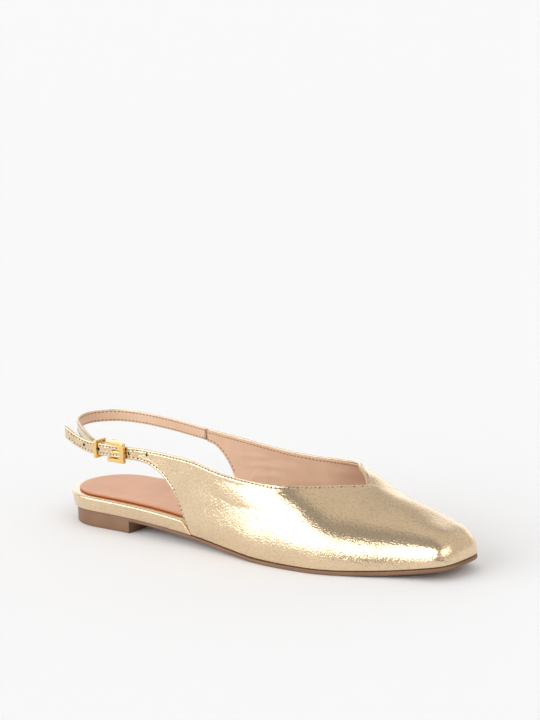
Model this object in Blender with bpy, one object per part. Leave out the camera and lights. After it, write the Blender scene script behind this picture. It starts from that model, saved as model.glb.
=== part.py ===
# Sling back flat, right shoe, in metres: toe along +X, lateral side at -Y, and the origin
# at the middle of the heel's flat bottom. The tables count from the back of the heel.
import math

import bmesh
import bpy
import numpy as np
from mathutils import Matrix, Vector

MM = 0.001

# Named sizes of the shoe
LENGTH = 258 * MM
BALL_WIDTH = 77 * MM
INSTEP_HEIGHT = 58 * MM
HEEL_BREAST = 55.4 * MM
HEEL_MIDDLE = 28 * MM
HEEL_ROUND = 0.115
TOE_START = 0.958
TOE_SQUARENESS = 3.2
TIP_SIDE = 0.030
HEEL_SET = 1.6 * MM
TOE_POLE = 22 * MM
POLE_EASE = 7

# Thicknesses and clearances
GAP = 0.3 * MM
WALL = 1.8 * MM
SOLE_THICK = 2.2 * MM
SOCK_THICK = 1.2 * MM
STEP = 0.8 * MM
FEATHER_INSET = 0.5 * MM
INSOLE_INSET = 3.2 * MM

# Sling strap, billet, buckle and keeper
STRAP_WIDTH = 6.8 * MM
STRAP_THICK = 1.4 * MM
FRAME_LENGTH = 12.6 * MM
FRAME_HEIGHT = 10.9 * MM
FRAME_RAIL = 1.6 * MM
FRONT_BAR = 3.1 * MM
BAR_DEPTH = 2.2 * MM
PIVOT_BAR = 1.5 * MM
KEEPER_HEIGHT = 9.8 * MM
KEEPER_BAND = 1.8 * MM
KEEPER_WALL = 1.1 * MM
HOLE_SPACING = 10.9 * MM
HOLE_SIZE = 2.2 * MM
TAIL_SLANT = 2.6 * MM
PRONG_THICK = 0.8 * MM
PRONG_WIDTH = 1.4 * MM
PRONG_HOLE = -2.9 * MM
PIVOT_DEPTH = -3.7 * MM
KEEPER_AT = -15.1 * MM
KEEPER_ROOM = 0.5 * MM
FOLD_RUN = 7 * MM

# Plan of the sole: share of LENGTH, then each side's distance as a share of BALL_WIDTH
OUTLINE = (
    # along, lateral, medial
    (0.115, 0.351, 0.338),
    (0.200, 0.358, 0.343),
    (0.300, 0.364, 0.325),
    (0.400, 0.384, 0.294),
    (0.500, 0.436, 0.312),
    (0.580, 0.488, 0.377),
    (0.660, 0.505, 0.455),
    (0.740, 0.486, 0.490),
    (0.820, 0.402, 0.455),
    (0.900, 0.300, 0.352),
    (0.960, 0.244, 0.262),
    (1.000, 0.214, 0.188),
)

# Side view: heights over the floor in millimetres
PROFILE = (
    # along, underside of the sole, top of the footbed
    (0.00, 7.3, 18.0),
    (0.10, 7.1, 17.5),
    (0.22, 6.6, 16.8),
    (0.32, 5.2, 15.2),
    (0.42, 3.2, 12.6),
    (0.52, 1.0, 9.2),
    (0.60, 0.0, 6.6),
    (0.72, 0.0, 5.6),
    (0.80, 0.4, 5.8),
    (0.90, 2.2, 7.4),
    (1.00, 6.2, 10.8),
)

# Crown line of the last: height as a share of INSTEP_HEIGHT, side as a share of
# BALL_WIDTH, and the slope across it (up towards the medial side)
CROWN = (
    # along, height, side, slope
    (0.20, 1.480, 0.000, 0.00),
    (0.40, 1.310, 0.020, 0.00),
    (0.50, 1.170, 0.035, 0.02),
    (0.58, 1.020, 0.050, 0.05),
    (0.66, 0.860, 0.053, 0.12),
    (0.72, 0.735, 0.054, 0.18),
    (0.76, 0.657, 0.056, 0.17),
    (0.80, 0.603, 0.060, 0.11),
    (0.85, 0.549, 0.066, 0.05),
    (0.92, 0.454, 0.074, 0.00),
)

# Flank of the last on each side: outward lean at the feather edge (share of BALL_WIDTH),
# rise of the wall (share of the height to the crown) and reach of the crown
FLANK = (
    # along, lean_l, rise_l, reach_l, lean_m, rise_m, reach_m
    (0.20, 0.060, 0.45, 1.14, 0.060, 0.45, 1.16),
    (0.30, 0.060, 0.46, 1.14, 0.085, 0.46, 1.24),
    (0.40, 0.055, 0.48, 1.13, 0.100, 0.48, 1.34),
    (0.50, 0.030, 0.52, 1.04, 0.065, 0.52, 1.14),
    (0.58, 0.020, 0.60, 0.88, 0.030, 0.56, 0.88),
    (0.66, 0.025, 0.62, 0.78, 0.010, 0.56, 0.74),
    (0.72, 0.025, 0.58, 0.70, 0.010, 0.54, 0.62),
    (0.76, 0.020, 0.54, 0.66, 0.010, 0.52, 0.57),
    (0.80, 0.018, 0.52, 0.62, 0.010, 0.52, 0.56),
    (0.85, 0.015, 0.52, 0.58, 0.010, 0.54, 0.58),
    (0.90, 0.012, 0.58, 0.56, 0.010, 0.60, 0.56),
    (0.95, 0.010, 0.66, 0.55, 0.008, 0.68, 0.55),
    (1.00, 0.006, 0.80, 0.52, 0.006, 0.80, 0.52),
)

# How far ahead the medial foot of each meridian stands, as a share of LENGTH
SKEW = (
    # along, ahead
    (0.20, 0.000),
    (0.40, 0.030),
    (0.60, 0.052),
    (0.76, 0.062),
    (0.86, 0.050),
    (0.94, 0.022),
    (1.00, 0.000),
)

# Upper edges as girth shares up the meridian: the topline, and the cut rear edge
TOPLINE = (
    # along, lateral, medial
    (0.26, 0.406, 0.411),
    (0.32, 0.419, 0.416),
    (0.36, 0.426, 0.421),
    (0.40, 0.433, 0.424),
    (0.44, 0.431, 0.434),
    (0.48, 0.434, 0.450),
    (0.52, 0.446, 0.474),
    (0.56, 0.466, 0.514),
    (0.60, 0.504, 0.568),
    (0.64, 0.575, 0.655),
    (0.68, 0.684, 0.785),
    (0.70, 0.752, 0.830),
    (0.72, 0.827, 0.868),
    (0.74, 0.897, 0.920),
    (0.768, 1.000, 1.000),
)
REAR_EDGE = (
    # along, lateral, medial
    (0.26, 0.333, 0.331),
    (0.28, 0.331, 0.322),
    (0.30, 0.320, 0.283),
    (0.32, 0.298, 0.216),
    (0.34, 0.257, 0.120),
    (0.355, 0.212, 0.000),
    (0.37, 0.135, 0.000),
    (0.38, 0.080, 0.000),
    (0.395, 0.000, 0.000),
)
V_POINT = 0.768
WING_MARKS = (
    0.262, 0.27, 0.28, 0.29, 0.30, 0.31, 0.32, 0.33, 0.34, 0.348, 0.355, 0.363, 0.37, 0.375,
    0.38, 0.385, 0.39, 0.395, 0.42, 0.44, 0.46, 0.48, 0.50, 0.52, 0.54, 0.56, 0.58, 0.60,
    0.62, 0.635, 0.65, 0.665, 0.68, 0.695, 0.71, 0.725, 0.74, 0.755,
)
VAMP_MARKS = (
    0.768, 0.78, 0.795, 0.81, 0.825, 0.84, 0.855, 0.87, 0.885, 0.90, 0.915, 0.93, 0.943, 0.954,
)
UPPER_ROWS = 10

# Billet behind the lateral wing: middle of its outer face, tail first. In both strap
# tables along is a share of LENGTH, side of BALL_WIDTH and height of INSTEP_HEIGHT
BILLET = (
    # run, along, side, height
    (0.0, 0.0473, -0.3688, 0.9310),
    (1.0, 0.0814, -0.3844, 0.8655),
    (2.0, 0.1182, -0.4000, 0.8241),
    (3.0, 0.1473, -0.4065, 0.8121),
    (4.0, 0.1783, -0.4065, 0.8103),
    (5.0, 0.2112, -0.4065, 0.8103),
    (6.0, 0.2364, -0.4039, 0.8103),
    (7.0, 0.2636, -0.3974, 0.8086),
    (8.0, 0.2946, -0.3922, 0.8138),
)

# Sling strap from the medial seam round the heel: middle of its outer face
SLING = (
    # run, along, side, height
    (0.0, 0.2682, 0.3558, 0.8086),
    (1.0, 0.2326, 0.3662, 0.8224),
    (2.0, 0.1938, 0.3714, 0.8397),
    (3.0, 0.1473, 0.3727, 0.8586),
    (4.0, 0.1008, 0.3675, 0.8741),
    (5.0, 0.0620, 0.3506, 0.8845),
    (6.0, 0.0291, 0.3169, 0.8897),
    (7.0, 0.0039, 0.2571, 0.8914),
    (8.0, -0.0105, 0.1766, 0.8931),
    (9.0, -0.0132, 0.0831, 0.8931),
    (10.0, -0.0047, -0.0117, 0.8914),
    (11.0, 0.0140, -0.0961, 0.8879),
    (12.0, 0.0388, -0.1688, 0.8793),
    (13.0, 0.0674, -0.2364, 0.8638),
    (14.0, 0.0977, -0.2987, 0.8431),
    (15.0, 0.1264, -0.3494, 0.8241),
    (16.0, 0.1512, -0.3740, 0.8121),
    (17.0, 0.1667, -0.3786, 0.8103),
)
BUCKLE_AT = Vector((0.2101 * LENGTH, -0.3948 * BALL_WIDTH, 0.8103 * INSTEP_HEIGHT))


def curve(rows, column, at):
    """Smooth reading of one column of a table at the shares in at."""
    xs = np.array([row[0] for row in rows], float)
    ys = np.array([row[column] for row in rows], float)
    at = np.clip(np.asarray(at, float), xs[0], xs[-1])
    slope = np.empty_like(ys)
    slope[1:-1] = (ys[2:] - ys[:-2]) / (xs[2:] - xs[:-2])
    slope[0] = (ys[1] - ys[0]) / (xs[1] - xs[0])
    slope[-1] = (ys[-1] - ys[-2]) / (xs[-1] - xs[-2])
    i = np.clip(np.searchsorted(xs, at) - 1, 0, len(xs) - 2)
    h = xs[i + 1] - xs[i]
    t = (at - xs[i]) / h
    a = (2 * t**3 - 3 * t**2 + 1) * ys[i] + (t**3 - 2 * t**2 + t) * h * slope[i]
    b = (-2 * t**3 + 3 * t**2) * ys[i + 1] + (t**3 - t**2) * h * slope[i + 1]
    return a + b


def ease(x):
    """Smooth step from 0 to 1."""
    x = np.clip(x, 0.0, 1.0)
    return x * x * (3 - 2 * x)


def plan(side, share):
    """Plan point of the sole's edge at a share of LENGTH; side is -1 lateral, 1 medial."""
    column = 1 if side < 0 else 2
    share = np.clip(np.asarray(share, float), 0.0, 1.0)
    body = np.clip(share, HEEL_ROUND, 1.0)
    wide = curve(OUTLINE, column, body) * BALL_WIDTH * side
    heel = np.clip(1 - share / HEEL_ROUND, 0, 1)
    wide = wide * np.sqrt(1 - heel**2)
    toe = np.clip((share - TOE_START) / (1 - TOE_START), 0, 1)
    drop = (1 - toe**TOE_SQUARENESS) ** (1 / TOE_SQUARENESS)
    tip = TIP_SIDE * BALL_WIDTH
    wide = np.where(share > TOE_START, tip + (wide - tip) * drop, wide)
    return np.stack([share * LENGTH + HEEL_SET * heel**2, wide], -1)


def normals(points, closed=False):
    """Normals of a plan polyline, to the right of its run."""
    if closed:
        step = np.roll(points, -1, 0) - np.roll(points, 1, 0)
    else:
        step = np.gradient(points, axis=0)
    turn = np.stack([step[:, 1], -step[:, 0]], -1)
    return turn / np.maximum(np.linalg.norm(turn, axis=1, keepdims=True), 1e-12)


def shares(heel, marks, toe):
    """Station shares: evenly turned round the heel, through the marks, round the toe."""
    back = [HEEL_ROUND * (1 - math.cos(math.pi / 2 * k / heel)) for k in range(heel)]
    front = []
    for k in range(toe + 1):
        turn = math.pi / 2 * k / toe
        front.append(TOE_START + (1 - TOE_START) * math.sin(turn) ** (2 / TOE_SQUARENESS))
    return np.array(back + list(marks) + front)


def edge_loop(at, inset_l, inset_m, shift_l=0.0, shift_m=0.0):
    """Lateral and medial plan points at the shares, moved in square to the edge."""
    lateral = plan(-1, at + shift_l)
    medial = plan(1, at + shift_m)
    ring = np.concatenate([medial, lateral[-2:0:-1]])
    out = -normals(ring, closed=True)
    count = len(at)
    out_m = out[:count]
    out_l = np.concatenate([out[:1], out[:count - 2:-1]])
    moved_l = lateral - out_l * np.reshape(inset_l, (-1, 1))
    moved_m = medial - out_m * np.reshape(inset_m, (-1, 1))
    # round the square toe the edge is drawn in towards its middle instead
    tip = TIP_SIDE * BALL_WIDTH
    toe = np.clip((at - TOE_START) / (1 - TOE_START), 0, 1)
    front = at > TOE_START - 1e-6
    for side, points, moved, inset in ((-1, lateral, moved_l, inset_l), (1, medial, moved_m, inset_m)):
        deep = np.broadcast_to(inset, at.shape)
        wide = abs(plan(side, TOE_START)[1] - tip)
        x = points[:, 0] - deep * toe
        y = tip + (points[:, 1] - tip) * (1 - deep / wide)
        moved[front] = np.column_stack([x, y])[front]
    return moved_l, moved_m


def height(column, share):
    """A height of the side view, in metres, never under the floor."""
    return np.maximum(curve(PROFILE, column, share), 0.0) * MM


def crown_point(share):
    """Point of the crown line and its slope along the shoe."""
    z = curve(CROWN, 1, share) * INSTEP_HEIGHT
    ahead = curve(CROWN, 1, share + 0.004) * INSTEP_HEIGHT
    slope = (ahead - z) / (0.004 * LENGTH)
    side = curve(CROWN, 2, share) * BALL_WIDTH
    return np.stack([share * LENGTH, side, z], -1), slope, curve(CROWN, 3, share)


def meridians(side, at):
    """Four control points of the last's meridian on one side at each share in at."""
    at = np.asarray(at, float)
    foot = at + (curve(SKEW, 1, at) if side > 0 else 0.0)
    foot = np.minimum(foot, 1.0)
    near = plan(side, foot)
    behind = plan(side, np.maximum(foot - 0.002, 0.0))
    along = near - behind
    out = np.stack([along[:, 1], -along[:, 0]], -1) * -side
    out /= np.maximum(np.linalg.norm(out, axis=1, keepdims=True), 1e-12)
    out = np.where((at >= 0.9999)[:, None], np.array([1.0, 0.0]), out)
    near = near - out * FEATHER_INSET
    low = height(1, foot) + SOLE_THICK + GAP
    start = np.column_stack([near, low])
    crown, slope, across = crown_point(at - TOE_POLE / LENGTH * at**POLE_EASE)
    rise = (crown[:, 2] - low)
    column = 1 if side < 0 else 4
    lean = curve(FLANK, column, at) * BALL_WIDTH
    lift = curve(FLANK, column + 1, at) * rise
    reach = curve(FLANK, column + 2, at)
    first = start + np.column_stack([out * lean[:, None], lift])
    flat = (start - crown)[:, :2] * reach[:, None]
    second = crown + np.column_stack([flat, flat[:, 0] * slope + flat[:, 1] * across])
    return np.stack([start, first, second, crown], 1)


def along_meridian(control, t):
    """Points at girth shares t (stations by rows) on cubic meridians."""
    t = np.asarray(t, float)[..., None]
    a, b, c, d = (control[:, k][:, None, :] for k in range(4))
    return a * (1 - t)**3 + 3 * b * t * (1 - t)**2 + 3 * c * t * t * (1 - t) + d * t**3


def solid_from_rings(name, rings, slot):
    """Closed solid: ring walls, and ladders of faces between the two sides as caps."""
    mesh = bmesh.new()
    grid = []
    for side_l, side_m in rings:
        lateral = [mesh.verts.new(p) for p in side_l]
        medial = [mesh.verts.new(p) for p in side_m[1:-1]]
        grid.append((lateral, [lateral[0]] + medial + [lateral[-1]]))
    for (low_l, low_m), (high_l, high_m) in zip(grid, grid[1:]):
        for i in range(len(low_l) - 1):
            mesh.faces.new((low_l[i], high_l[i], high_l[i + 1], low_l[i + 1]))
            mesh.faces.new((low_m[i], low_m[i + 1], high_m[i + 1], high_m[i]))
    for (lateral, medial), up in ((grid[0], False), (grid[-1], True)):
        for i in range(len(lateral) - 1):
            ladder = [lateral[i], lateral[i + 1], medial[i + 1], medial[i]]
            face = list(dict.fromkeys(ladder))
            mesh.faces.new(face if up else face[::-1])
    return finish(name, mesh, slot)


MATERIALS = {
    # slot: (base colour, roughness, metallic)
    "gold_leather": ((0.72, 0.56, 0.36, 1.0), 0.32, 0.85),
    "tan_leather": ((0.74, 0.45, 0.28, 1.0), 0.60, 0.0),
    "brown_rubber": ((0.20, 0.11, 0.05, 1.0), 0.55, 0.0),
    "gold_brass": ((0.85, 0.62, 0.28, 1.0), 0.25, 1.0),
}


def material(name, slot):
    """A new Principled material for one piece."""
    colour, roughness, metallic = MATERIALS[slot]
    made = bpy.data.materials.new(name + "_" + slot)
    made.use_nodes = True
    shader = made.node_tree.nodes["Principled BSDF"]
    shader.inputs["Base Color"].default_value = colour
    shader.inputs["Roughness"].default_value = roughness
    shader.inputs["Metallic"].default_value = metallic
    return made


def finish(name, mesh, slot, smooth=True):
    """Turn a bmesh into a named object."""
    data = bpy.data.meshes.new(name)
    bmesh.ops.recalc_face_normals(mesh, faces=mesh.faces)
    bmesh.ops.translate(mesh, verts=mesh.verts, vec=(-HEEL_MIDDLE, 0.0, 0.0))
    for face in mesh.faces:
        face.smooth = smooth
    mesh.to_mesh(data)
    mesh.free()
    thing = bpy.data.objects.new(name, data)
    bpy.context.scene.collection.objects.link(thing)
    data.materials.append(material(name, slot))
    return thing


def start_empty():
    """Remove what the scene starts with."""
    for thing in list(bpy.data.objects):
        bpy.data.objects.remove(thing, do_unlink=True)


def build_outsole():
    """Moulded rubber sole with the low heel block in one piece."""
    breast = HEEL_BREAST / LENGTH
    marks = [0.115, 0.135, 0.155, 0.175, 0.195, breast, breast + 0.003]
    marks += list(np.linspace(0.235, 0.955, 34))
    at = shares(8, marks, 10)

    def under(where):
        block = where < breast + 0.001
        return np.where(block, 0.0, height(1, where))

    def above(where):
        return height(1, where) + SOLE_THICK

    rows = []
    for inset, lift in ((1.0, 0.0), (0.35, 0.3), (0.0, 0.9)):
        rows.append((inset * MM, lift * MM, False))
    rows.append((0.0, 0.4 * MM, True))
    rows.append((0.4 * MM, 0.0, True))
    rings = []
    drawn_in = 1.5 * MM * (1 - ease((at - 0.15) / 0.35)) + 0.2 * MM
    for inset, lift, from_top in rows:
        side_l, side_m = edge_loop(at, drawn_in + inset, drawn_in + inset)
        ring = []
        for points in (side_l, side_m):
            if from_top:
                z = above(at) - lift
            else:
                z = under(at) + lift
            ring.append(np.column_stack([points, z]))
        rings.append(ring)
    return solid_from_rings("outsole", rings, "brown_rubber")


def build_footbed():
    """Board wrapped in gold leather: the band at the heel, the insole inside the upper."""
    marks = [0.115, 0.14, 0.17, 0.20, 0.23, 0.26, 0.29, 0.32, 0.345, 0.365, 0.38]
    marks += [0.3935, 0.395, 0.405, 0.42]
    marks += list(np.linspace(0.44, 0.95, 22))
    at = shares(9, marks, 9)
    rows = (
        # outward from the sole's edge, height share
        (-0.6, 0.00),
        (0.0, 0.08),
        (0.5, 0.50),
        (0.9, 0.85),
        (0.7, 0.96),
        (0.0, 1.00),
    )
    rings = []
    for out, share in rows:
        near = np.exp(-((at - 0.394) / 0.035)**2)
        slide_l = -0.024 * share * near
        slide_m = -(0.017 + 0.015 * share) * near
        band = 1 - ease((at - 0.3935) / 0.0015)
        inset = INSOLE_INSET - band * (INSOLE_INSET + out * MM)
        side_l, side_m = edge_loop(at, inset, inset, slide_l, slide_m)
        ring = []
        for points in (side_l, side_m):
            where = points[:, 0] / LENGTH
            low = height(1, where) + SOLE_THICK + GAP
            z = low + (height(2, where) - low) * share
            ring.append(np.column_stack([points, z]))
        rings.append(ring)
    return solid_from_rings("footbed", rings, "gold_leather")


def build_sock():
    """Tan leather sock laid on the footbed, its cut edge showing round the heel."""
    marks = [0.115, 0.14, 0.17, 0.20, 0.23, 0.26, 0.29, 0.32, 0.35, 0.38, 0.41]
    marks += list(np.linspace(0.44, 0.95, 20))
    at = shares(9, marks, 9)
    inset = 3.4 * MM + 0.6 * MM * ease((at - 0.10) / 0.2) + 0.4 * MM * ease((at - 0.40) / 0.1)
    rings = []
    for extra, share in ((0.0, 0.0), (0.0, 0.75), (0.3, 1.0)):
        side_l, side_m = edge_loop(at, inset + extra * MM, inset + extra * MM)
        ring = []
        for points in (side_l, side_m):
            z = height(2, points[:, 0] / LENGTH) + GAP + SOCK_THICK * share
            ring.append(np.column_stack([points, z]))
        rings.append(ring)
    return solid_from_rings("sock", rings, "tan_leather")


def upper_skin():
    """Outer skin of the upper as rows of points, lateral and medial."""
    toe = list(shares(0, [], 9))
    wing = list(WING_MARKS)
    marks = np.array(wing + list(VAMP_MARKS) + toe)
    split = len(wing)
    grids = []
    for side, column in ((-1, 1), (1, 2)):
        top = curve(TOPLINE, column, marks)
        low = np.maximum(curve(REAR_EDGE, column, marks), 0.0)
        low = np.where(marks > 0.394, 0.0, low)
        low[(side > 0) & (marks > 0.354)] = 0.0
        top = np.where(marks >= V_POINT, 1.0, top)
        up = np.linspace(0, 1, UPPER_ROWS + 1)
        share = low[:, None] + (top - low)[:, None] * up
        grids.append(along_meridian(meridians(side, marks), share))
    return marks, split, grids


def strap_line(table, run):
    """Points of a strap table at the steps in run, in metres."""
    sizes = np.array([LENGTH, BALL_WIDTH, INSTEP_HEIGHT])
    return np.stack([curve(table, k, run) for k in (1, 2, 3)], -1) * sizes


def billet_rows():
    """Billet points behind the lateral wing, tail first, ending short of the wing."""
    run = np.linspace(0, 6.6, 17)
    middle = strap_line(BILLET, run)
    way = np.gradient(middle, axis=0)
    way /= np.linalg.norm(way, axis=1, keepdims=True)
    out = np.stack([way[:, 1], -way[:, 0], np.zeros(len(way))], -1)
    up = np.cross(out, way)
    up *= np.sign(up[:, 2:3])
    half = np.full(len(run), STRAP_WIDTH / 2)
    half[0] *= 0.90
    across = np.linspace(-1, 1, UPPER_ROWS + 1)
    rows = middle[:, None, :] + up[:, None, :] * half[:, None, None] * across[None, :, None]
    # the tail is cut on the slant, longest at its upper corner
    slant = (1 - across) / 2 * TAIL_SLANT
    rows[0] += way[0] * slant[:, None]
    rows[1] += way[1] * slant[:, None] * 0.45
    return rows


def build_upper():
    """Vamp, both wings and the lateral billet: one hollow wall open below and above."""
    marks, split, (lateral, medial) = upper_skin()
    billet = billet_rows()
    lateral = np.concatenate([billet, lateral])
    ahead = len(billet)
    mesh = bmesh.new()
    left = [[mesh.verts.new(p) for p in row] for row in lateral]
    right = []
    for i, row in enumerate(medial):
        if i == split:
            # the medial panel ends just behind the crossing edge, one step lower
            slip = (medial[i - 1] - row) * 0.04
            right.append([mesh.verts.new(p) for p in row + slip])
        if i >= split:
            made = [mesh.verts.new(p) for p in row[:-1]] + [left[ahead + i][-1]]
        else:
            made = [mesh.verts.new(p) for p in row]
        if i == len(medial) - 1:
            made = left[-1]
        right.append(made)
    for rows, turned in ((left, False), (right, True)):
        for a, b in zip(rows, rows[1:]):
            for j in range(UPPER_ROWS):
                ring = [a[j], b[j], b[j + 1], a[j + 1]]
                ring = list(dict.fromkeys(ring))
                mesh.faces.new(ring[::-1] if turned else ring)
    mesh.normal_update()
    base = {v: (v.co.copy(), v.normal.copy()) for v in mesh.verts}
    inner = {v: mesh.verts.new(co - n * WALL) for v, (co, n) in base.items()}
    skin = list(mesh.faces)
    rim = [e for e in mesh.edges if len(e.link_faces) == 1]
    sides = []
    for e in rim:
        face = e.link_faces[0]
        for loop in face.loops:
            if loop.edge == e:
                sides.append((loop.vert, loop.link_loop_next.vert))
    for face in skin:
        mesh.faces.new([inner[v] for v in reversed(face.verts)])
    for a, b in sides:
        mesh.faces.new((b, a, inner[a], inner[b]))
    # the medial panel dips under the crossing edge
    for k, row in enumerate(right[:split + 1]):
        away = (V_POINT - marks[min(k, split)]) / 0.06
        dip = STEP * (1 - float(ease(away)))
        for v in row:
            if dip > 0:
                v.co = base[v][0] - base[v][1] * dip
    return finish("upper", mesh, "gold_leather")


def swept(name, middle, out, half_out, half_up, slot, corner=0.0):
    """A band swept along middle points: out is its outward side, the width stands square."""
    way = np.gradient(middle, axis=0)
    way /= np.linalg.norm(way, axis=1, keepdims=True)
    up = np.cross(way, out)
    up /= np.linalg.norm(up, axis=1, keepdims=True)
    out = np.cross(up, way)
    soft = corner
    around = ((1, -1 + soft), (1, 1 - soft), (1 - soft * 2, 1), (-1 + soft * 2, 1),
              (-1, 1 - soft), (-1, -1 + soft), (-1 + soft * 2, -1), (1 - soft * 2, -1))
    if corner == 0.0:
        around = ((1, -1), (1, 1), (-1, 1), (-1, -1))
    mesh = bmesh.new()
    rows = []
    for m, o, u in zip(middle, out, up):
        row = [mesh.verts.new(m + o * half_out * a + u * half_up * b) for a, b in around]
        rows.append(row)
    count = len(around)
    for a, b in zip(rows, rows[1:]):
        for j in range(count):
            k = (j + 1) % count
            mesh.faces.new((a[j], a[k], b[k], b[j]))
    mesh.faces.new(rows[0][::-1])
    mesh.faces.new(rows[-1])
    return finish(name, mesh, slot)


def local(run, depth, up=0.0):
    """Point in the buckle's frame: along the shoe, outward from the billet, up."""
    return np.array([BUCKLE_AT.x + run, BUCKLE_AT.y - depth, BUCKLE_AT.z + up])


def fold_line():
    """Middle line of the strap's turn round the pivot bar and of its sewn-back end."""
    centre_run = -FRAME_LENGTH / 2 + PIVOT_BAR / 2
    centre_depth = PIVOT_DEPTH
    radius = PIVOT_BAR / 2 + GAP + STRAP_THICK / 2
    line = []
    side = []
    for k in range(9):
        turn = math.pi / 2 - math.pi * k / 8
        outward = (math.cos(turn), math.sin(turn))
        line.append(local(centre_run + radius * outward[0], centre_depth + radius * outward[1]))
        side.append((outward[0], -outward[1], 0.0))
    return np.array(line), np.array(side)


def build_strap():
    """Sling strap: from the seam round the heel and round the buckle's pivot bar."""
    run = np.linspace(0, 17, 40)
    outer = strap_line(SLING, run)
    way = np.gradient(outer, axis=0)
    out = np.stack([way[:, 1], -way[:, 0], 0 * way[:, 0]], -1)
    out /= np.linalg.norm(out, axis=1, keepdims=True)
    middle = outer - out * STRAP_THICK / 2
    turn, turn_out = fold_line()
    back = []
    back_out = []
    apart = STRAP_THICK + GAP
    for behind in (9.0 * MM, 12.2 * MM, 15.7 * MM, 19.2 * MM):
        i = int(np.argmin(abs(middle[20:, 0] - BUCKLE_AT.x + behind))) + 20
        share = float(ease((behind - 6.2 * MM) / FOLD_RUN))
        deep = (1 - share) * (turn[0][1] - turn[-1][1]) * -1 + share * apart
        back.append(middle[i] - out[i] * deep)
        back_out.append(-out[i])
    line = np.concatenate([middle, turn, np.array(back)])
    side = np.concatenate([out, turn_out, np.array(back_out)])
    return swept("sling_strap", line, side, STRAP_THICK / 2, STRAP_WIDTH / 2, "gold_leather", 0.12)


def prism(mesh, outline, low, high):
    """Straight prism between two levels of height over an outline of (run, depth)."""
    bottom = [mesh.verts.new(local(a, b, low)) for a, b in outline]
    top = [mesh.verts.new(local(a, b, high)) for a, b in outline]
    count = len(outline)
    for i in range(count):
        k = (i + 1) % count
        mesh.faces.new((bottom[i], bottom[k], top[k], top[i]))
    mesh.faces.new(bottom[::-1])
    mesh.faces.new(top)


def tool(name, outline, low, high):
    """Hidden operand for a union or a cut."""
    mesh = bmesh.new()
    prism(mesh, outline, low, high)
    thing = finish(name, mesh, "gold_brass", smooth=False)
    thing.hide_render = True
    thing.display_type = 'WIRE'
    return thing


def combine(thing, other, operation):
    """Exact Boolean of two pieces, kept as a modifier."""
    change = thing.modifiers.new(other.name, 'BOOLEAN')
    change.operation = operation
    change.solver = 'EXACT'
    change.object = other


def build_frame():
    """Cast buckle frame: two side rails, the wide front bar and the deep pivot bar."""
    front = FRAME_LENGTH / 2
    rear = -front
    over = WALL / 2 + GAP
    face = over + BAR_DEPTH
    rail = (
        (front - 0.1 * MM, face - 0.1 * MM),
        (front - 0.1 * MM, over),
        (front - FRONT_BAR, over - 1.2 * MM),
        (rear + 3.2 * MM, PIVOT_DEPTH + 0.2 * MM),
        (rear + 1.9 * MM, PIVOT_DEPTH - 1.0 * MM),
        (rear - 0.2 * MM, PIVOT_DEPTH - 1.0 * MM),
        (rear - 0.4 * MM, PIVOT_DEPTH + 1.3 * MM),
        (rear - 0.4 * MM, over - 0.4 * MM),
        (rear, face - 1.2 * MM),
        (rear + 1.6 * MM, face - 0.4 * MM),
    )
    mesh = bmesh.new()
    half = FRAME_HEIGHT / 2
    prism(mesh, rail, half - FRAME_RAIL, half)
    frame = finish("buckle_frame", mesh, "gold_brass", smooth=False)
    lower = tool("tool_lower_rail", rail, -half, -half + FRAME_RAIL)
    bar = ((front, over), (front, face), (front - FRONT_BAR, face), (front - FRONT_BAR, over))
    middle = tool("tool_front_bar", bar, -half + 0.1 * MM, half - 0.1 * MM)
    pivot = []
    for k in range(8):
        turn = math.pi / 4 * (k + 0.5)
        radius = PIVOT_BAR / 2
        run = rear + radius + radius * math.cos(turn)
        pivot.append((run, PIVOT_DEPTH + radius * math.sin(turn)))
    axle = tool("tool_pivot_bar", pivot, -half + 0.5 * MM, half - 0.5 * MM)
    for other in (lower, middle, axle):
        combine(frame, other, 'UNION')
    return frame


def build_prong():
    """Bent pin hooked on the pivot bar, coming up through the billet's hole."""
    run = -FRAME_LENGTH / 2 + PIVOT_BAR / 2
    radius = PIVOT_BAR / 2 + GAP + PRONG_THICK / 2
    line = []
    for k in range(11):
        turn = math.radians(10 - 27 * k)
        line.append((run + radius * math.cos(turn), PIVOT_DEPTH + radius * math.sin(turn)))
    hole = PRONG_HOLE
    rise = WALL / 2 + GAP + PRONG_THICK / 2
    tip = FRAME_LENGTH / 2 - FRONT_BAR - GAP
    line += [
        (hole - 1.6 * MM, PIVOT_DEPTH + radius),
        (hole - 0.7 * MM, PIVOT_DEPTH + radius + 0.15 * MM),
        (hole - 0.15 * MM, -rise),
        (hole, 0.0),
        (hole + 0.15 * MM, rise * 0.8),
        (hole + 0.9 * MM, rise + 0.35 * MM),
        (hole + 2.4 * MM, rise + 0.5 * MM),
        (tip, rise + 0.4 * MM),
    ]
    middle = np.array([local(a, b) for a, b in line])
    way = np.gradient(middle, axis=0)
    out = np.stack([way[:, 1], -way[:, 0], 0 * way[:, 0]], -1)
    out /= np.linalg.norm(out, axis=1, keepdims=True)
    return swept("buckle_prong", middle, out, PRONG_THICK / 2, PRONG_WIDTH / 2, "gold_brass")


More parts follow.
